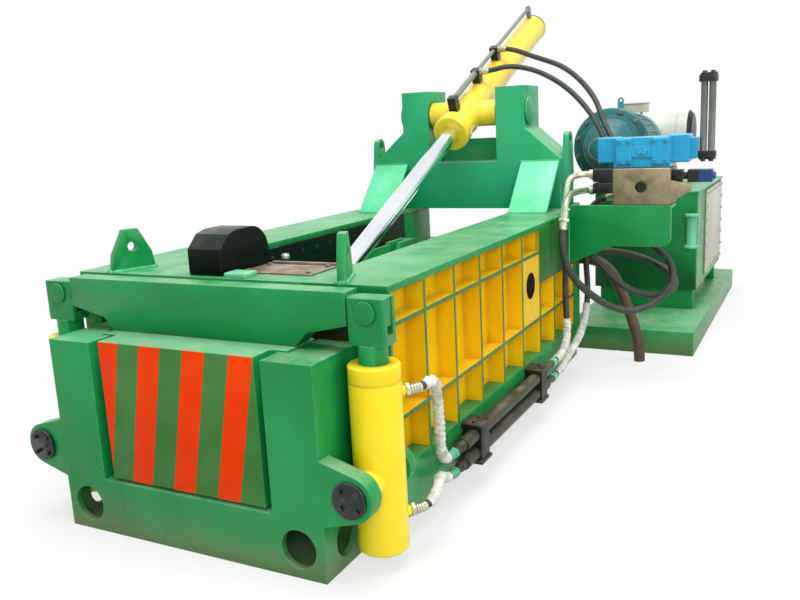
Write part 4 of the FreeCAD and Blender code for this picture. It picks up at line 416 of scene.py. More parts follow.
def plain_metal(name, colour, tint, rough=0.38, rust=0.25, regions=None):
    """Bare machined metal with a fine grain, tarnish and spots of rust."""
    g = Graph(name)
    tone = g.mix(g.blotches(9.0, 6.0, 0.7, 0.32, 0.68), colour, tint)
    if regions:
        tone = regions(g, tone)
    tone = g.mix(g.blotches(40.0, 8.0, 0.75, 0.60, 0.72, 0.0, rust), tone, RUST)
    # Soot and painted shade: tight corners darkened towards black
    tone = g.mix(g.times(g.cavity(0.02), 0.7), tone, SOOT_AND_SHADE)
    lines = g.noise(1.0, 4.0, 0.7, g.stretched(220.0, 220.0, 14.0))
    polish = g.step(lines, 0.3, 0.7, rough - 0.08, rough + 0.14)
    g.finish(
        Base_Color=tone, Roughness=polish, Metallic=0.85, Normal=g.bump(lines, 0.12, 0.0005)
    )


def chrome():
    g = Graph("chrome")
    smear = g.noise(1.0, 3.0, 0.5, g.stretched(9.0, 1.2, 9.0))
    tone = g.mix(g.step(smear, 0.3, 0.7), srgb(244, 247, 249), srgb(230, 235, 240))
    polish = g.step(smear, 0.25, 0.75, 0.10, 0.16)
    g.finish(Base_Color=tone, Roughness=polish, Metallic=1.0)


def rubber(name, colour, dusty, braid=0.0):
    """A hose cover: dark rubber with a faint cloth print, scuffs and dust."""
    g = Graph(name)
    patches = g.noise(16.0, 7.0, 0.7)
    tone = g.mix(g.step(patches, 0.42, 0.72), colour, dusty)
    level = g.step(g.facing["Z"], 0.2, 0.95)
    tone = g.mix(g.times(level, g.blotches(30.0, 5.0, 0.7, 0.35, 0.65), 0.55), tone, dusty)
    weave = g.noise(420.0, 2.0, 0.5)
    polish = g.step(patches, 0.3, 0.7, 0.42, 0.66)
    g.finish(
        Base_Color=tone, Roughness=polish, Normal=g.bump(weave, 0.25 + braid, 0.0008)
    )


def cloth(name):
    """Wound cloth tape over a hose, grey and oil-stained."""
    g = Graph(name)
    tone = g.mix(
        g.blotches(14.0, 7.0, 0.7, 0.38, 0.66), srgb(236, 236, 226), srgb(180, 184, 172))
    tone = g.mix(g.blotches(38.0, 6.0, 0.7, 0.58, 0.70, 0.0, 0.7), tone, srgb(84, 100, 80))
    # Painted shade: the tape's creases darkened
    tone = g.mix(g.times(g.cavity(0.012), 0.75), tone, srgb(44, 48, 42))
    threads = g.node("ShaderNodeTexVoronoi", {"Vector": g.place, "Scale": 620.0}).outputs[0]
    folds = g.bump(g.noise(70.0, 5.0, 0.6), 0.7, 0.004, g.bump(threads, 0.3, 0.0006))
    g.finish(
        Base_Color=tone, Roughness=0.86, Normal=folds, Sheen_Weight=0.2, Sheen_Roughness=0.5
    )


def striped_panel():
    """Green paint with slanted orange-red warning stripes on its front face."""
    g = Graph("gate_stripes")
    slope = 0.200
    pitch = 0.217
    first = -0.163
    top = 0.810
    centre = 0.247
    drop = g.math("SUBTRACT", g.axes["Z"], top)
    across = g.math("SUBTRACT", g.axes["X"], g.math("MULTIPLY", drop, slope))
    phase = g.math("DIVIDE", g.math("SUBTRACT", across, first), pitch)
    middle = g.math("ABSOLUTE", g.math("SUBTRACT", g.math("FRACT", phase), centre))
    wobble = g.times(g.noise(60.0, 3.0), 0.006)
    painted = g.step(g.math("ADD", middle, wobble), *STRIPE_HALF, 1.0, 0.0)
    front = g.step(g.axes["Y"], *STRIPE_FACE)
    low = g.step(g.axes["Z"], *STRIPE_FOOT)
    mask = g.times(painted, front, low)
    patches = g.noise(3.0, 5.0, 0.6)
    green = g.mix(g.step(patches, 0.35, 0.65), GREEN, GREEN_FADED)
    weathered = g.mix(g.step(patches, 0.35, 0.65), srgb(70, 122, 58), srgb(86, 134, 70))
    ground = g.mix(g.times(front, 0.85), green, weathered)
    orange = g.mix(g.step(patches, 0.3, 0.7), srgb(246, 60, 0), srgb(252, 72, 4))
    tone = g.mix(mask, ground, orange)
    tone = g.mix(g.blotches(26.0, 7.0, 0.72, 0.58, 0.72, 0.0, 0.16), tone, MUD)
    # Painted sheen: up-facing faces lightened towards a pale mint, for sky light on them
    level = g.step(g.facing["Z"], 0.3, 0.8)
    tone = g.mix(g.times(level, 0.45), tone, srgb(150, 204, 168))
    tone = g.mix(g.times(level, g.blotches(9.0, 8.0, 0.7, 0.38, 0.74), 0.45), tone, DUST)
    # Painted highlight: edges lightened towards a pale green
    tone = g.mix(g.times(g.edge(0.005), 0.25), tone, srgb(160, 200, 160))
    polish = g.blotches(14.0, 6.0, 0.7, 0.3, 0.7, 0.32, 0.5)
    g.finish(
        Base_Color=tone, Roughness=polish, Normal=g.bump(g.noise(300.0, 2.0), 0.06, 0.0006),
        Specular_IOR_Level=0.1,
    )


enamel("green_paint", GREEN, GREEN_FADED, top_sheen=SHEEN_MINT)
enamel("green_high", LIT_GREEN, LIT_GREEN_FADED, top_sheen=srgb(176, 222, 184), sheen_range=(0.25, 0.8))
# Painted light: a much lighter copy of the green for the gussets, whose sloping tops catch the
# overhead light
enamel("green_gusset", srgb(66, 196, 136), srgb(118, 226, 178), dust=0.15, top_sheen=SHEEN_MINT)
enamel("green_tank", GREEN, GREEN_FADED, top_sheen=SHEEN_MINT, regions=tank_shade_regions)
enamel("green_low", GREEN, GREEN_FADED, dust=0.4, splash=0.55, top_sheen=SHEEN_MINT)
# Painted highlight: weld beads in a paler green than the paint, for light caught on them
enamel("weld_green_lit", srgb(40, 164, 100), srgb(84, 194, 134), dust=0.2, edge_wear_and_highlight=0.0, top_sheen=SHEEN_MINT)
enamel("pale_mint", srgb(112, 206, 156), srgb(142, 222, 176), edge_wear_and_highlight=0.4)
enamel(
    "yellow_paint", YELLOW, YELLOW_FADED, dust=0.12, edge_wear_and_highlight=0.15, grime_and_shade=0.35,
    grime_and_shade_colour=YELLOW_GRIME_AND_SHADE, coat=0.2)
# Painted shade: a darker copy of the cylinder yellow, for the lid cylinder
enamel(
    "yellow_lid", srgb(246, 206, 22), srgb(252, 220, 60), dust=0.1, edge_wear_and_highlight=0.15,
    grime_and_shade_colour=YELLOW_GRIME_AND_SHADE, rough=0.24, coat=0.6, regions=lid_barrel_regions)
# Painted shade: the walls' yellow is a darker, more orange copy of the cylinders' yellow
enamel(
    "yellow_wall_shaded", YELLOW_SHADED, YELLOW_SHADED_FADED, dust=0.12, splash=0.25, edge_wear_and_highlight=0.1, grime_and_shade=0.4,
    grime_and_shade_colour=srgb(118, 84, 10), regions=wall_regions)
enamel("liner", LINER, srgb(16, 40, 28), edge_wear_and_highlight=0.3, grime_and_shade=0.3, rough=0.42, coat=0.0, shine=0.12)
enamel("black_steel", BLACK, BLACK_FADED, dust=0.2, grime_and_shade=0.3, rough=0.26, coat=0.2)
# Painted reflection: the hood's up-facing faces lightened in patches towards a grey-green
enamel(
    "hood_black", srgb(3, 13, 8), srgb(8, 20, 13), dust=0.15, edge_wear_and_highlight=0.12, grime_and_shade=0.3, rough=0.34,
    coat=0.0, shine=0.13, top_sheen=srgb(84, 106, 98), sheen_range=(0.25, 0.7))
enamel(
    "lid_pipe", BLACK, BLACK_FADED, dust=0.15, edge_wear_and_highlight=0.3, grime_and_shade=0.3, rough=0.26, coat=0.2,
    regions=lid_pipe_regions)
enamel(
    "coil_black", srgb(12, 18, 20), srgb(22, 30, 32), dust=0.15, edge_wear_and_highlight=0.3, grime_and_shade=0.3, rough=0.28,
    coat=0.2, regions=coil_regions)
# Painted highlight: the valve's up-facing faces lightened towards a pale blue
enamel(
    "valve_blue", srgb(14, 146, 196), srgb(34, 172, 218), dust=0.08, edge_wear_and_highlight=0.25, grime_and_shade=0.6,
    grime_and_shade_colour=srgb(8, 44, 58), rough=0.26, coat=0.3, top_sheen=srgb(96, 206, 232))
enamel(
    "motor_teal", srgb(34, 98, 100), srgb(62, 130, 132), dust=0.25, edge_wear_and_highlight=0.25, grime_and_shade=0.7,
    grime_and_shade_colour=srgb(10, 26, 26), rough=0.3, coat=0.1)
enamel(
    "cream_paint", srgb(188, 190, 168), srgb(206, 208, 190), dust=0.25, edge_wear_and_highlight=0.2, grime_and_shade=0.6,
    grime_and_shade_colour=srgb(84, 80, 60))
enamel(
    "cream_motor", srgb(190, 196, 182), srgb(214, 220, 208), dust=0.25, edge_wear_and_highlight=0.2, grime_and_shade=0.6,
    grime_and_shade_colour=srgb(60, 60, 46), regions=cowl_regions)
enamel(
    "tube_grey", srgb(92, 100, 94), srgb(126, 134, 126), dust=0.1, edge_wear_and_highlight=0.3, rough=0.24, coat=0.4,
    regions=tube_regions)
enamel(
    "pipe_brown", srgb(46, 46, 34), srgb(72, 70, 50), dust=0.4, splash=0.3, edge_wear_and_highlight=0.3, grime_and_shade=0.6,
    rough=0.45, coat=0.0)
enamel(
    "clamp_dark", srgb(26, 32, 22), srgb(46, 50, 36), dust=0.35, splash=0.2, edge_wear_and_highlight=0.3, grime_and_shade=0.6,
    rough=0.45, coat=0.0)
enamel("valve_green", srgb(66, 166, 120), srgb(110, 198, 156), dust=0.2, edge_wear_and_highlight=0.3, top_sheen=SHEEN_MINT)
plain_metal("bare_steel", srgb(150, 150, 146), srgb(112, 110, 104))
plain_metal("worn_plate", srgb(186, 168, 156), srgb(128, 112, 100), rough=0.58, rust=0.4)
plain_metal("dark_plug", srgb(62, 70, 58), srgb(40, 46, 38), rough=0.5)
plain_metal("manifold_steel", srgb(156, 146, 116), srgb(128, 118, 92), rough=0.5, rust=0.15)
plain_metal("elbow_steel", srgb(204, 204, 182), srgb(166, 176, 150), rough=0.34, rust=0.05)
plain_metal(
    "elbow_painted", srgb(222, 216, 190), srgb(186, 188, 158), rough=0.34, rust=0.05,
    regions=elbow_regions)
# Painted shade: near black, for the sleeves that make the portholes look dark inside
enamel(
    "hole_shade", srgb(14, 12, 6), srgb(34, 28, 14), dust=0.0, edge_wear_and_highlight=0.0, rough=0.7, coat=0.0,
    shine=0.05)
chrome()
rubber("hose_rubber", srgb(38, 44, 40), srgb(70, 78, 66))
rubber("conduit_brown", srgb(72, 54, 36), srgb(104, 84, 60), braid=0.3)
cloth("hose_wrap")
striped_panel()

# Shared mesh code


def link(name, mesh, material):
    piece = add(name, mesh)
    mesh.materials.clear()
    mesh.materials.append(MATERIALS[material])
    return piece


def mesh_from(bm, name):
    bmesh.ops.recalc_face_normals(bm, faces=bm.faces)
    mesh = bpy.data.meshes.new(name)
    bm.to_mesh(mesh)
    bm.free()
    return mesh


def smooth_by_angle(mesh, degrees):
    mesh.polygons.foreach_set("use_smooth", [True] * len(mesh.polygons))
    mesh.set_sharp_from_angle(angle=math.radians(degrees))


def frames_along(path):
    """A tangent and two steady cross directions at each point of a path."""
    points = [Vector(point) for point in path]
    tangents = []
    for index in range(len(points)):
        before = points[max(index - 1, 0)]
        after = points[min(index + 1, len(points) - 1)]
        tangents.append((after - before).normalized())
    side = tangents[0].orthogonal().normalized()
    frames = []
    for point, tangent in zip(points, tangents):
        side = (side - tangent * side.dot(tangent)).normalized()
        frames.append((point, tangent, side, tangent.cross(side)))
    return frames


def around(place, angle, reach):
    """The point at an angle and a reach round a frame."""
    point, _, side, other = place
    return point + (side * math.cos(angle) * reach + other * math.sin(angle) * reach)


def skin(bm, rings):
    """Faces between neighbouring rings of corners."""
    for first, second in zip(rings, rings[1:]):
        for number in range(len(first)):
            after = (number + 1) % len(first)
            bm.faces.new((first[number], first[after], second[after], second[number]))


def swept(name, stations, sides):
    """A closed skin through rings. A station is a frame, a radius and, if any, its flats."""
    bm = bmesh.new()
    rings = []
    for place, radius, *flats in stations:
        ring = []
        for number in range(sides):
            angle = math.tau * number / sides
            reach = radius
            if flats:
                part = math.tau / flats[0]
                reach = radius / math.cos(angle % part - part / 2)
            ring.append(bm.verts.new(around(place, angle, reach)))
        rings.append(ring)
    skin(bm, rings)
    bm.faces.new(rings[0][::-1])
    bm.faces.new(rings[-1])
    return mesh_from(bm, name)


def finished(name, mesh, material, slot, body=ROOT, degrees=30.0):
    """A piece of its own: smooth below the angle, painted, and riding on a body."""
    smooth_by_angle(mesh, degrees)
    piece = link(name, mesh, material)
    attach(piece, body)
    return piece


def merged(name, meshes, material, slot):
    """One piece from several meshes."""
    bm = bmesh.new()
    for mesh in meshes:
        bm.from_mesh(mesh)
        bpy.data.meshes.remove(mesh)
    whole = bpy.data.meshes.new(name)
    bm.to_mesh(whole)
    bm.free()
    finished(name, whole, material, slot)


# Cords

ROUTES = {
    "gate_hose_upper": [
        (0.835489, 0.078489, 0.660), (0.877489, 0.120489, 0.660), (0.894, 0.184, 0.676),
        (0.885, 0.240, 0.634), (0.868, 0.278, 0.570), (0.860, 0.308, 0.495), (0.854, 0.322, 0.420),
        (0.846, 0.340, 0.345), (0.838, 0.380, 0.282), (0.830, 0.440, 0.250), (0.830, 0.510, 0.250),
    ],
    "gate_hose_lower": [
        (0.835489, 0.078489, 0.190), (0.877489, 0.120489, 0.190), (0.892, 0.184, 0.214),
        (0.878, 0.245, 0.236), (0.854, 0.305, 0.230), (0.840, 0.375, 0.200), (0.830, 0.445, 0.165),
        (0.830, 0.510, 0.165),
    ],
    "supply_hose_upper": [
        (0.797, 2.300, 1.080), (0.797, 2.275, 0.990), (0.798, 2.270, 0.900), (0.799, 2.282, 0.795),
        (0.800, 2.284, 0.690), (0.804, 2.264, 0.580), (0.812, 2.246, 0.475), (0.824, 2.230, 0.384),
        (0.831, 2.182, 0.308), (0.832, 2.108, 0.264), (0.831, 2.028, 0.252), (0.830, 1.950, 0.250),
        (0.830, 1.880, 0.250),
    ],
    "supply_hose_lower": [
        (0.830, 1.880, 0.165), (0.830, 1.960, 0.165), (0.830, 2.070, 0.176), (0.831, 2.190, 0.206),
        (0.832, 2.320, 0.232), (0.832, 2.450, 0.258), (0.831, 2.570, 0.316), (0.830, 2.655, 0.412),
        (0.829, 2.684, 0.530), (0.828, 2.660, 0.650), (0.827, 2.632, 0.765), (0.826, 2.612, 0.865),
        (0.826, 2.600, 0.960), (0.857, 2.594, 1.034), (0.913, 2.591, 1.090), (0.983, 2.590, 1.119),
        (1.034, 2.590, 1.119),
    ],
    "loop_hose_outer": [
        (0.846, 2.100, 1.040), (0.8442, 2.064, 0.959), (0.846, 2.070, 0.860), (0.858, 2.110, 0.765),
        (0.890, 2.175, 0.672), (0.950, 2.260, 0.580), (1.040, 2.340, 0.497), (1.143, 2.400, 0.452),
        (1.250, 2.455, 0.478), (1.343, 2.515, 0.545), (1.378, 2.568, 0.650), (1.338, 2.598, 0.752),
        (1.248, 2.612, 0.812), (1.188, 2.612, 0.890), (1.160, 2.600, 0.982), (1.160, 2.600, 1.071),
    ],
    "loop_hose_inner": [
        (0.803, 2.500, 0.790), (0.853, 2.500, 0.790), (0.908, 2.500, 0.766), (0.958, 2.498, 0.714),
        (1.016, 2.496, 0.650), (1.092, 2.500, 0.588), (1.184, 2.512, 0.542), (1.285, 2.535, 0.528),
        (1.358, 2.608, 0.548), (1.368, 2.713, 0.590), (1.306, 2.803, 0.635), (1.200, 2.842, 0.685),
        (1.090, 2.840, 0.724), (0.980, 2.812, 0.748), (0.880, 2.788, 0.754), (0.790, 2.780, 0.750),
        (0.714, 2.780, 0.750),
    ],
    "lid_hose_upper": [
        (0.028, 3.31235, 2.09586), (0.103, 3.31235, 2.09586), (0.200, 3.285, 2.066),
        (0.300, 3.228, 2.026), (0.418, 3.158, 1.986), (0.545, 3.082, 1.940), (0.655, 3.000, 1.876),
        (0.757, 2.915, 1.794), (0.840, 2.848, 1.700), (0.888, 2.790, 1.606), (0.930, 2.735, 1.530),
        (0.978, 2.688, 1.470), (1.010, 2.645, 1.440), (1.010, 2.604, 1.440),
    ],
    "lid_hose_lower": [
        (0.028, 2.94837, 1.92996), (0.098, 2.94837, 1.92996), (0.200, 2.985, 1.956),
        (0.310, 3.020, 1.942), (0.430, 3.010, 1.902), (0.560, 2.970, 1.834), (0.670, 2.920, 1.756),
        (0.767, 2.858, 1.668), (0.844, 2.790, 1.586), (0.894, 2.745, 1.508), (0.934, 2.706, 1.443),
        (0.975, 2.682, 1.397), (1.010, 2.650, 1.370), (1.010, 2.604, 1.370),
    ],
    "drain_conduit": [
        (0.714, 2.905, 0.680), (0.800, 2.905, 0.680), (0.888, 2.907, 0.640), (0.952, 2.914, 0.562),
        (0.990, 2.922, 0.462), (1.034, 2.928, 0.350), (1.074, 2.930, 0.235), (1.104, 2.928, 0.120),
        (1.110, 2.928, 0.002),
    ],
}

# radius and length
CORDS = {
    "gate_hose_upper": (0.016, 0.712),
    "gate_hose_lower": (0.016, 0.476),
    "supply_hose_upper": (0.018, 1.107),
    "supply_hose_lower": (0.018, 1.678),
    "loop_hose_outer": (0.021, 1.683),
    "loop_hose_inner": (0.021, 1.519),
    "lid_hose_upper": (0.017, 1.460),
    "lid_hose_lower": (0.017, 1.344),
    "drain_conduit": (0.035, 0.866),
}

CONDUIT = "drain_conduit"
CROSSING_HOSES = ("lid_hose_upper", "lid_hose_lower")
CURVE_STEPS = 10
BEVEL_STEPS = 7


def route_curve(name, points, radius):
    data = bpy.data.curves.new(name, "CURVE")
    data.dimensions = "3D"
    data.resolution_u = CURVE_STEPS
    spline = data.splines.new("NURBS")
    spline.points.add(len(points) - 1)
    for control, point in zip(spline.points, points):
        control.co = (*point, 1.0)
    spline.order_u = 3
    spline.use_endpoint_u = True
    data.bevel_depth = radius
    data.bevel_resolution = BEVEL_STEPS
    data.use_fill_caps = radius > 0
    return add(name, data)


def settled_mesh(piece):
    """The piece's mesh with its bevel and modifiers applied."""
    bpy.context.view_layer.update()
    graph = bpy.context.evaluated_depsgraph_get()
    return bpy.data.meshes.new_from_object(piece.evaluated_get(graph))


def line_of(points):
    """The points that a route's NURBS line runs through."""
    bare = route_curve("line", points, 0.0)
    mesh = settled_mesh(bare)
    line = [vertex.co.copy() for vertex in mesh.vertices]
    bpy.data.meshes.remove(mesh)
    bpy.data.objects.remove(bare)
    return line


def stretch_of(line, start, end, pitch):
    """The part of a line between two distances along it, in even steps."""
    points = []
    run = 0.0
    target = start
    for first, second in zip(line, line[1:]):
        length = (second - first).length
        while target <= min(run + length, end) and length > 0:
            points.append(first.lerp(second, (target - run) / length))
            target += pitch
        run += length
    return points


def length_of(line):
    return sum((second - first).length for first, second in zip(line, line[1:]))


PAINTED_ENDS = (
    "gate_hose_upper_end_b", "gate_hose_lower_end_b", "supply_hose_upper_end_b",
    "supply_hose_lower_end_a",
)
END_PITCH = 0.002
NUT_LENGTH = 0.018
NUT_WALL = 0.0065
NUT_CHAMFER = 0.0015
FERRULE_LENGTH = 0.048
FERRULE_WALL = 0.0042
FERRULE_TAPER = 0.0022
GROOVE_DEPTH = 0.0016
GROOVE_EVERY = 5


def hose_end(name, line, radius, body):
    """A crimped ferrule and its hexagonal nut over the first 66 mm of a line."""
    frames = frames_along(stretch_of(line, 0.0, NUT_LENGTH + FERRULE_LENGTH, END_PITCH))
    stations = []
    for number, place in enumerate(frames):
        along = number * END_PITCH
        if along <= NUT_LENGTH:
            chamfer = NUT_CHAMFER if along in (0.0, NUT_LENGTH) else 0.0
            stations.append((place, radius + NUT_WALL - chamfer, 6))
            continue
        groove = GROOVE_DEPTH if number % GROOVE_EVERY == 0 else 0.0
        taper = FERRULE_TAPER if number >= len(frames) - 2 else 0.0
        stations.append((place, radius + FERRULE_WALL - groove - taper))
    look = ("elbow_steel", "elbow_steel")
    if name in PAINTED_ENDS:
        look = ("valve_green", "green_paint")
    return finished(name, swept(name, stations, 36), *look, body, degrees=28.0)


WRAP_PITCH = 0.003
WRAP_SIDES = 28
WRAP_LAP = 0.026
WRAP_GAP = 0.003
WRAP_THICK = 0.0038
WRAP_CREASE = 0.0036
WRAP_EDGE = 0.0004
WRAP_MARGIN = 0.07
CREASE_SCALE = 46.0


def wrapped(name, line, radius, start, end):
    """Cloth tape wound round a hose: each turn laps over the one before."""
    frames = frames_along(stretch_of(line, start, end, WRAP_PITCH))
    bm = bmesh.new()
    rings = []
    for number, place in enumerate(frames):
        point, _, side, other = place
        ring = []
        for corner in range(WRAP_SIDES):
            angle = math.tau * corner / WRAP_SIDES
            turn = (number * WRAP_PITCH / WRAP_LAP + corner / WRAP_SIDES) % 1.0
            crease = noise.noise(
                point * CREASE_SCALE + side * math.cos(angle) + other * math.sin(angle))
            reach = radius + WRAP_GAP + WRAP_THICK * turn + WRAP_CREASE * crease
            if number in (0, len(frames) - 1):
                reach = radius + WRAP_EDGE
            ring.append(bm.verts.new(around(place, angle, reach)))
        rings.append(ring)
    skin(bm, rings)
    return finished(name, mesh_from(bm, name), "hose_wrap", "hose_wrap", degrees=50.0)


# distances along each hose between which it is wound with cloth tape
WRAPS = {
    "gate_hose_upper": (0.08, 0.64),
    "gate_hose_lower": (0.08, 0.40),
    "supply_hose_upper": (0.66, 1.02),
    "supply_hose_lower": (0.09, 0.86),
}


def make_cords():
    for name, points in ROUTES.items():
        radius, length = CORDS[name]
        far_end, material = "object", "hose_rubber"
        if name == CONDUIT:
            far_end, material = "bare", "conduit_brown"
        line = line_of(points)
        tube = route_curve(name + "_run", points, radius)
        extras = []
        crossing = name in CROSSING_HOSES
        if crossing:
            mesh = settled_mesh(tube)
            bpy.data.objects.remove(tube)
            smooth_by_angle(mesh, degrees=60.0)
            tube = link(name + "_run", mesh, material)
            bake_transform(tube)
        else:
            tube.data.materials.append(MATERIALS[material])
            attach(tube, ROOT)
        if far_end == "object":
            extras = [
                hose_end(name + "_end_a", line, radius, LID_BARREL if crossing else ROOT),
                hose_end(name + "_end_b", line[::-1], radius, ROOT),
            ]
        if name in WRAPS:
            start, end = WRAPS[name]
            end = min(end, length_of(line) - WRAP_MARGIN)
            extras.append(wrapped(name + "_wrap", line, radius, start, end))
        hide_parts(name)


make_cords()

# Painted and machined pieces that stand for CAD nodes, with rounded edges


def flat_copy(node):
    """A node's mesh with its flat faces whole and no stored normals."""
    bm = bmesh.new()
    bm.from_mesh(NODES[node].data)
    bmesh.ops.remove_doubles(bm, verts=bm.verts, dist=1e-5)
    bmesh.ops.dissolve_limit(
        bm, angle_limit=math.radians(0.4), verts=bm.verts, edges=bm.edges
    )
    for edge in bm.edges:
        edge.smooth = True
    mesh = bpy.data.meshes.new(node)
    bm.to_mesh(mesh)
    bm.free()
    if "custom_normal" in mesh.attributes:
        mesh.attributes.remove(mesh.attributes["custom_normal"])
    return mesh


# pieces whose shortest edges would hold all their rounding back
UNCLAMPED = (
    "gate_crossbeam", "main_motor", "valve_manifold", "pipe_brackets", "return_valve",
    "trunnion_bearings", "trunnion_caps", "clevis_pins",
)


ROUNDED_ABOVE = math.radians(32.0)


def softened(node, material, slot, width=0.003, segments=2):
    """A piece that stands for a node, with its edges rounded as rolled and ground plate is."""
    piece = link(node + "_soft", flat_copy(node), material)
    rounding = piece.modifiers.new("edges", "BEVEL")
    rounding.limit_method = "ANGLE"
    rounding.angle_limit = ROUNDED_ABOVE
    rounding.width = width
    rounding.segments = segments
    rounding.use_clamp_overlap = node not in UNCLAMPED
    final = settled_mesh(piece)
    piece.modifiers.clear()
    piece.data = final
    final.name = node + "_soft"
    smooth_by_angle(final, degrees=24.0)
    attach(piece, NODES[node]["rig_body"])
    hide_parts(node)


# material, slot, and any other width and segments of the rounding
SOFTENED = {
    "gate_frame": ("green_low", "green_paint", 0.005, 3),
    "gate_crossbeam": ("green_paint", "green_paint"),
    "gate_rod_left": ("green_paint", "green_paint"),
    "gate_rod_right": ("green_paint", "green_paint"),
    "top_beam_left": ("green_paint", "green_paint", 0.004, 3),
    "top_beam_right": ("green_paint", "green_paint", 0.004, 3),
    "skid_beams": ("green_low", "green_paint", 0.004),
    "front_cover_plate": ("green_paint", "green_paint", 0.004),
    "rear_crosshead": ("green_paint", "green_paint", 0.004),
    "gantry_frame": ("green_high", "green_paint", 0.005, 3),
    "gantry_gussets": ("green_gusset", "green_paint", 0.004, 3),
    "press_lid": ("green_paint", "green_paint", 0.004),
    "power_base": ("green_low", "green_paint"),
    "oil_tank": ("green_tank", "green_paint", 0.004),
    "valve_bracket": ("green_paint", "green_paint", 0.003, 3),
    "chamber_floor": ("green_low", "green_paint"),
    "cylinder_saddle": ("green_low", "green_paint"),
    "ram_head": ("green_paint", "green_paint"),
    "gate_cylinder_left": ("yellow_paint", "yellow_paint", 0.004, 3),
    "gate_cylinder_right": ("yellow_paint", "yellow_paint", 0.004, 3),
    "main_cylinder": ("yellow_paint", "yellow_paint", 0.004),
    "lid_cylinder": ("yellow_lid", "yellow_paint", 0.004, 3),
    "guard_hood": ("hood_black", "black_steel", 0.003, 3),
    "valve_manifold": ("manifold_steel", "manifold_steel", 0.0012),
    "trunnion_bearings": ("green_paint", "bare_steel"),
    "trunnion_caps": ("black_steel", "black_steel", 0.002),
    "clevis_pins": ("green_paint", "bare_steel", 0.002),
    "side_valves": ("coil_black", "black_steel", 0.002),
    "main_motor": ("motor_teal", "motor_teal"),
    "second_motor": ("cream_motor", "cream_paint", 0.002),
    "terminal_box": ("cream_paint", "cream_paint", 0.004, 3),
    "main_pump": ("motor_teal", "motor_teal"),
    "tank_cover": ("cream_paint", "cream_paint"),
    "twin_tubes": ("tube_grey", "tube_grey", 0.002),
    "return_valve": ("valve_green", "black_steel", 0.002),
    "lid_trunnion_caps": ("green_high", "bare_steel"),
    "pipe_brackets": ("clamp_dark", "pipe_brown", 0.002),
    "gate_slab": ("gate_stripes", "green_paint", 0.005, 3),
}
for node, look in SOFTENED.items():
    softened(node, *look)

# CAD nodes that stay as they are

KEPT = {
    "side_wall_left": "yellow_wall_shaded",
    "side_wall_right": "yellow_wall_shaded",
    "directional_valve": "valve_blue",
    "trunnion_cap_bolts": "black_steel",
    "wall_blades": "liner",
    "lid_hinge_pin": "bare_steel",
    "lid_rod": "chrome",
    "lid_rod_pin": "bare_steel",
    "lid_cylinder_pipes": "lid_pipe",
    "ram_rod": "chrome",
    "manifold_elbows": "elbow_painted",
    "side_pipes": "pipe_brown",
    "tank_cover_bolts": "cream_paint",
}
for node, material in KEPT.items():
    for held in NODES[node].material_slots:
        held.material = MATERIALS[material]

# Small forms: plates, bolts, plugs and weld beads


def frame_at(place, axis):
    tangent = Vector(axis).normalized()
    side = tangent.orthogonal().normalized()
    return Vector(place), tangent, side, tangent.cross(side)


def turned(name, place, axis, profile, sides=36):
    """A turned form. The profile has distances along the axis, radii and counts of flats."""
    point, tangent, side, other = frame_at(place, axis)
    stations = [((point + tangent * along, tangent, side, other), radius, *flats)
                for along, radius, *flats in profile]
    return swept(name, stations, sides)


def hex_bolt(place, axis, size):
    """A washer and a chamfered hexagonal head; the size is the head's half width."""
    base = 0.18 * size
    return turned("bolt", place, axis, [
        (0.0, 1.45 * size), (base * 0.8, 1.45 * size), (base, 1.35 * size),
        (base, size, 6), (base + 0.75 * size, size, 6), (base + 0.95 * size, 0.86 * size, 6),
    ])


def socket_screw(place, axis, size):
    """A cap screw's round head with its hexagonal socket."""
    return turned("screw", place, axis, [
        (0.0, size), (0.85 * size, size), (size, 0.88 * size), (size, 0.52 * size, 6),
        (0.45 * size, 0.50 * size, 6),
    ])


BROKEN_EDGE = 0.0015


def slab(name, low, high, bevel=BROKEN_EDGE):
    """A plate with broken edges."""
    bm = bmesh.new()
    bmesh.ops.create_cube(bm, size=1.0)
    for vertex in bm.verts:
        for axis in range(3):
            vertex.co[axis] = high[axis] if vertex.co[axis] > 0 else low[axis]
    bmesh.ops.bevel(
        bm, geom=bm.edges, offset=bevel, segments=2, profile=0.5, affect="EDGES",
        clamp_overlap=True,
    )
    return mesh_from(bm, name)


BEAD_PITCH = 0.0035
RIPPLE_PITCH = 0.0075


def bead(start, end, radius, seed):
    """A weld bead between two points: close ripples of uneven height."""
    start = Vector(start)
    end = Vector(end)
    length = (end - start).length
    count = max(int(length / BEAD_PITCH), 4)
    _, tangent, side, other = frame_at(start, end - start)
    stations = []
    for number in range(count + 1):
        share = number / count
        ripple = 0.10 * math.cos(math.tau * share * length / RIPPLE_PITCH)
        drift = 0.22 * noise.noise(Vector((seed, share * length * 22.0, 0.0)))
        tip = 0.35 if number in (0, count) else 1.0
        place = (start.lerp(end, share), tangent, side, other)
        stations.append((place, radius * tip * (1 + ripple + drift)))
    return swept("bead", stations, 12)


def mirrored(meshes):
    """The meshes and their mirror images in the machine's middle plane."""
    both = list(meshes)
    for mesh in meshes:
        copy = mesh.copy()
        copy.transform(Matrix.Diagonal((-1.0, 1.0, 1.0, 1.0)))
        copy.flip_normals()
        both.append(copy)
    return both


BEAM_TOP = 1.038
EAR_PLACE = (0.544, 0.192)
EAR_HALF_FOOT = 0.100
EAR_HALF_THICK = 0.0175
EAR_TURN = math.radians(67)
EAR_BEAD = 0.011


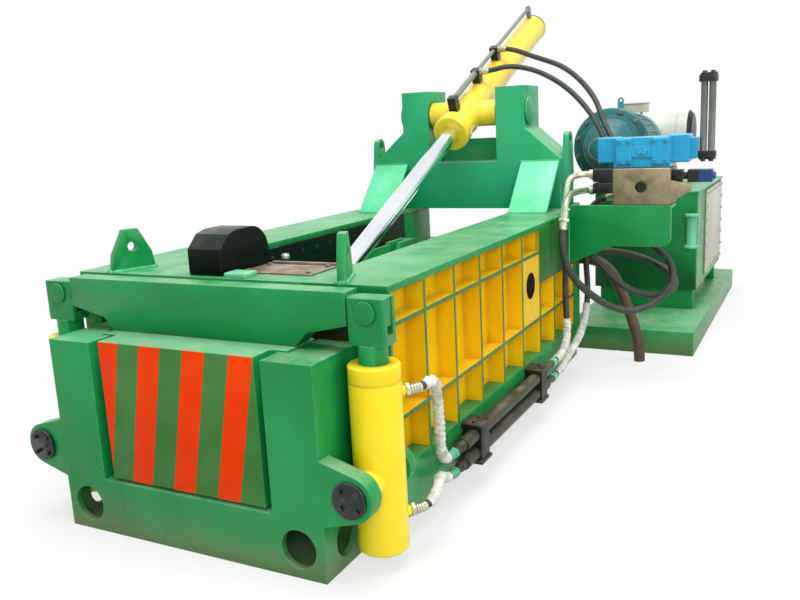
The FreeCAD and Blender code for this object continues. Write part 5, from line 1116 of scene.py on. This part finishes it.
def ear_beads():
    """Flared welds round the feet of the front lifting ears."""
    along = Vector((-math.cos(EAR_TURN), math.sin(EAR_TURN), 0.0))
    across = Vector((math.sin(EAR_TURN), math.cos(EAR_TURN), 0.0))
    middle = Vector((EAR_PLACE[0], EAR_PLACE[1], BEAM_TOP))
    beads = []
    for sign in (-1, 1):
        face = middle + across * (sign * EAR_HALF_THICK)
        beads.append(bead(
            face - along * EAR_HALF_FOOT, face + along * EAR_HALF_FOOT, EAR_BEAD, 3.0 + sign))
        tip = middle + along * (sign * EAR_HALF_FOOT)
        beads.append(bead(
            tip - across * EAR_HALF_THICK, tip + across * EAR_HALF_THICK, EAR_BEAD, 7.0 + sign))
    return beads


def body_beads():
    """Welds of the gussets, the portal's posts and the front ears."""
    return ear_beads() + [
        bead((0.400, 2.385, BEAM_TOP), (0.652, 2.385, BEAM_TOP), 0.008, 11.0),
        bead((0.400, 2.665, 1.340), (0.652, 2.665, 1.340), 0.006, 12.0),
        bead((0.698, 2.668, BEAM_TOP), (0.698, 2.960, BEAM_TOP), 0.008, 13.0),
        bead((0.400, 2.965, BEAM_TOP), (0.696, 2.965, BEAM_TOP), 0.008, 14.0),
    ]


WALL_FACE = 0.7715
BAY_LOW = (1.5865, 0.5225)
BAY_HIGH = (1.8635, 0.8775)
PANEL_THICK = 0.012
PORTHOLE = (1.718, 0.726)
PORTHOLE_R = 0.072
PORTHOLE_SIDES = 56
SLEEVE_DEPTH = 0.080


def porthole_panel():
    """A flush plate in a wall bay, pierced by a round hole."""
    angles = {math.tau * number / PORTHOLE_SIDES for number in range(PORTHOLE_SIDES)}
    for y in (BAY_LOW[0], BAY_HIGH[0]):
        for z in (BAY_LOW[1], BAY_HIGH[1]):
            angles.add(math.atan2(z - PORTHOLE[1], y - PORTHOLE[0]) % math.tau)
    bm = bmesh.new()
    rings = []
    back = WALL_FACE - PANEL_THICK
    for on_rim, x in ((False, WALL_FACE), (True, WALL_FACE), (True, back), (False, back)):
        ring = []
        for angle in sorted(angles):
            step = Vector((math.cos(angle), math.sin(angle)))
            reach = PORTHOLE_R
            if on_rim:
                reach = min(
                    ((BAY_HIGH if step[axis] > 0 else BAY_LOW)[axis] - PORTHOLE[axis]) / step[axis]
                    for axis in (0, 1) if abs(step[axis]) > 1e-9
                )
            corner = (x, PORTHOLE[0] + step.x * reach, PORTHOLE[1] + step.y * reach)
            ring.append(bm.verts.new(corner))
        rings.append(ring)
    skin(bm, rings + rings[:1])
    return mesh_from(bm, "porthole")


merged("porthole_panels", mirrored([porthole_panel()]), "yellow_wall_shaded", "yellow_paint")
# Painted shade: a dark sleeve behind each porthole, so the hole shows dark as a shaded recess does
shade_sleeve = turned("shade_sleeve", (WALL_FACE, *PORTHOLE), (-1, 0, 0), [
    (0.0004, PORTHOLE_R + 0.003), (0.0, PORTHOLE_R - 0.001),
    (SLEEVE_DEPTH, PORTHOLE_R - 0.003), (SLEEVE_DEPTH, 0.004),
], PORTHOLE_SIDES)
merged("porthole_shade_sleeves", mirrored([shade_sleeve]), "hole_shade", "black_steel")

merged("weld_beads", mirrored(body_beads()), "weld_green_lit", "green_paint")
merged("bracket_beads", [
    bead((0.789, y, 0.735), (0.789, y, 1.030), 0.006, seed)
    for y, seed in ((2.399, 21.0), (2.426, 22.0))
], "weld_green_lit", "green_paint")

ROOF_FOOT = 1.036
PLATE_TOP = 1.045

# low and high corners, width of the broken edges, material and slot
ROOF_SLABS = {
    "roof_plate": (
        (0.022, 0.215, ROOF_FOOT), (0.372, 0.412, PLATE_TOP), BROKEN_EDGE, "worn_plate",
        "bare_steel"),
    "roof_bar": (
        (0.030, 0.434, ROOF_FOOT), (0.372, 0.452, 1.052), BROKEN_EDGE, "worn_plate",
        "bare_steel"),
    "roof_pad": (
        (0.022, 0.112, ROOF_FOOT), (0.130, 0.196, 1.058), 0.006, "pale_mint", "green_paint"),
}
for name, (low, high, bevel, material, slot) in ROOF_SLABS.items():
    finished(name, slab(name, low, high, bevel), material, slot)
finished("roof_knob", turned("roof_knob", (0.078, 0.470, BEAM_TOP), (0, 0, 1), [
    (0.0, 0.013, 6), (0.006, 0.013, 6), (0.007, 0.006), (0.015, 0.006), (0.018, 0.014),
    (0.024, 0.019), (0.034, 0.019), (0.041, 0.014), (0.044, 0.006),
]), "elbow_steel", "elbow_steel")
merged("plate_bolts", [
    hex_bolt((x, y, PLATE_TOP), (0, 0, 1), 0.008) for x in (0.050, 0.344) for y in (0.240, 0.388)
], "worn_plate", "bare_steel")

MOTOR_PLACE = (0.807, 1.386)
FLANGE_FACE = 3.400
FLANGE_BOLTS = 12
FLANGE_CIRCLE = 0.236


def flange_bolts():
    """Bolts on the motor flange's circle, none at its top."""
    bolts = []
    for number in range(FLANGE_BOLTS):
        angle = math.tau * (number + 0.5) / FLANGE_BOLTS
        x = MOTOR_PLACE[0] + FLANGE_CIRCLE * math.cos(angle)
        z = MOTOR_PLACE[1] + FLANGE_CIRCLE * math.sin(angle)
        bolts.append(hex_bolt((x, FLANGE_FACE, z), (0, -1, 0), 0.013))
    return bolts


merged("motor_flange_bolts", flange_bolts(), "bare_steel", "bare_steel")

PORT_R = 0.0225
finished("manifold_port", turned("manifold_port", (1.210, 2.402, 1.1905), (0, -1, 0), [
    (0.0, 0.033), (0.003, 0.033), (0.0045, 0.030), (0.0045, PORT_R),
    (-0.030, PORT_R), (-0.030, 0.004),
], 48), "dark_plug", "manifold_steel")

# start and width of each valve body, across the machine
VALVE_BODIES = ((1.062, 0.090), (1.262, 0.096))
SCREW_INSET = 0.018
merged("valve_screws", [
    socket_screw((x, 2.416, z), (0, -1, 0), 0.010)
    for start, width in VALVE_BODIES
    for x in (start + SCREW_INSET, start + width - SCREW_INSET) for z in (1.336, 1.446)
], "valve_blue", "valve_blue")

TUBE_AXES = (1.529, 1.572)
# height and direction of the twin tubes' two ends
TUBE_ENDS = ((1.792, 1), (1.345, -1))
merged("tube_glands", [
    turned("gland", (x, 2.510, z), (0, 0, way), [
        (0.0, 0.023, 6), (0.012, 0.023, 6), (0.014, 0.019, 6), (0.014, 0.014),
        (0.024, 0.012),
    ])
    for x in TUBE_AXES for z, way in TUBE_ENDS
], "black_steel", "black_steel")

CLAMP_STARTS = (0.725, 1.590)
CLAMP_LENGTH = 0.090
CLAMP_FOOT = (0.120, 0.134)
CLAMP_CAP = (0.288, 0.302)
CLAMP_SIDES = (0.7765, 0.874)
CLAMP_MIDDLE = 0.830
CLAMP_SPREAD = 0.016
CLAMP_INSET = 0.014


def clamp_flanges():
    """The clamps' wider caps and feet, with two bolts through each cap."""
    parts = []
    for start in CLAMP_STARTS:
        end = start + CLAMP_LENGTH
        for low, high in (CLAMP_FOOT, CLAMP_CAP):
            parts.append(slab(
                "flange", (CLAMP_SIDES[0], start - CLAMP_SPREAD, low),
                (CLAMP_SIDES[1], end + CLAMP_SPREAD, high),
            ))
        for y in (start + CLAMP_INSET, end - CLAMP_INSET):
            parts.append(hex_bolt((CLAMP_MIDDLE, y, CLAMP_CAP[1]), (0, 0, 1), 0.010))
    return parts


merged("clamp_flanges", clamp_flanges(), "clamp_dark", "pipe_brown")

# Floor, background and lights


BOUNCE_GREY = (0.34, 0.34, 0.32, 1.0)
FLOOR_PALE = (0.80, 0.80, 0.79, 1.0)
FLOOR_PALER = (0.84, 0.84, 0.83, 1.0)
FADE_START = 2.0
FADE_END = 11.0
LEAST_GLOW = 0.66
HORIZON = 0.42
ZENITH = 0.95


def make_floor():
    """Ground that fades to white away from the machine, in direct view."""
    g = Graph("floor")
    pale = g.mix(g.blotches(0.8, 4.0, 0.6, 0.3, 0.7), FLOOR_PALE, FLOOR_PALER)
    tone = g.mix(g.seen_directly(), BOUNCE_GREY, pale)
    g.finish(Base_Color=tone, Roughness=0.9)
    glow = g.node("ShaderNodeEmission", {"Color": WHITE, "Strength": 1.0})
    far = g.node("ShaderNodeVectorMath", {0: g.place}, operation="LENGTH").outputs["Value"]
    both = g.node("ShaderNodeMixShader", {
        0: g.times(g.seen_directly(), g.step(far, FADE_START, FADE_END, LEAST_GLOW, 1.0)),
        1: g.surface.outputs[0], 2: glow.outputs[0],
    })
    g.put(g.out.inputs["Surface"], both.outputs[0])
    bm = bmesh.new()
    bmesh.ops.create_grid(bm, x_segments=8, y_segments=8, size=60.0)
    floor = link("floor", mesh_from(bm, "floor"), "floor")
    floor.location = (0.0, 2.0, -0.001)


def make_world():
    """White in direct view; as light, a sky that is brighter overhead."""
    world = bpy.data.worlds.new("studio")
    world.use_nodes = True
    g = Nodes(world.node_tree)
    heading = g.node("ShaderNodeTexCoord").outputs["Generated"]
    height = g.node("ShaderNodeSeparateXYZ", {0: heading}).outputs["Z"]
    sky = g.node("ShaderNodeMapRange", {
        "Value": height, "From Min": -0.05, "From Max": 0.9, "To Min": HORIZON, "To Max": ZENITH,
    }).outputs[0]
    soft = g.node("ShaderNodeBackground", {"Color": (0.97, 0.99, 1.0, 1.0), "Strength": sky})
    white = g.node("ShaderNodeBackground", {"Color": WHITE, "Strength": 1.0})
    both = g.node("ShaderNodeMixShader", {
        0: g.seen_directly(), 1: soft.outputs[0], 2: white.outputs[0],
    })
    g.node("ShaderNodeOutputWorld", {"Surface": both.outputs[0]})
    bpy.context.scene.world = world


def soft_light(name, place, target, size, watts):
    data = bpy.data.lights.new(name, "AREA")
    data.shape = "DISK"
    data.size = size
    data.energy = watts
    lamp = add(name, data)
    direction = Vector(target) - Vector(place)
    lamp.rotation_euler = direction.to_track_quat("-Z", "Y").to_euler()
    lamp.location = place


make_floor()
make_world()
soft_light("key", (1.2, 0.6, 9.0), (0.2, 2.0, 0.6), 6.0, 540.0)
soft_light("side", (8.0, 1.0, 3.5), (0.7, 1.6, 0.6), 5.0, 130.0)
soft_light("front", (5.5, -6.5, 4.0), (0.4, 1.5, 0.6), 5.0, 250.0)

bpy.context.scene.view_settings.view_transform = "Standard"
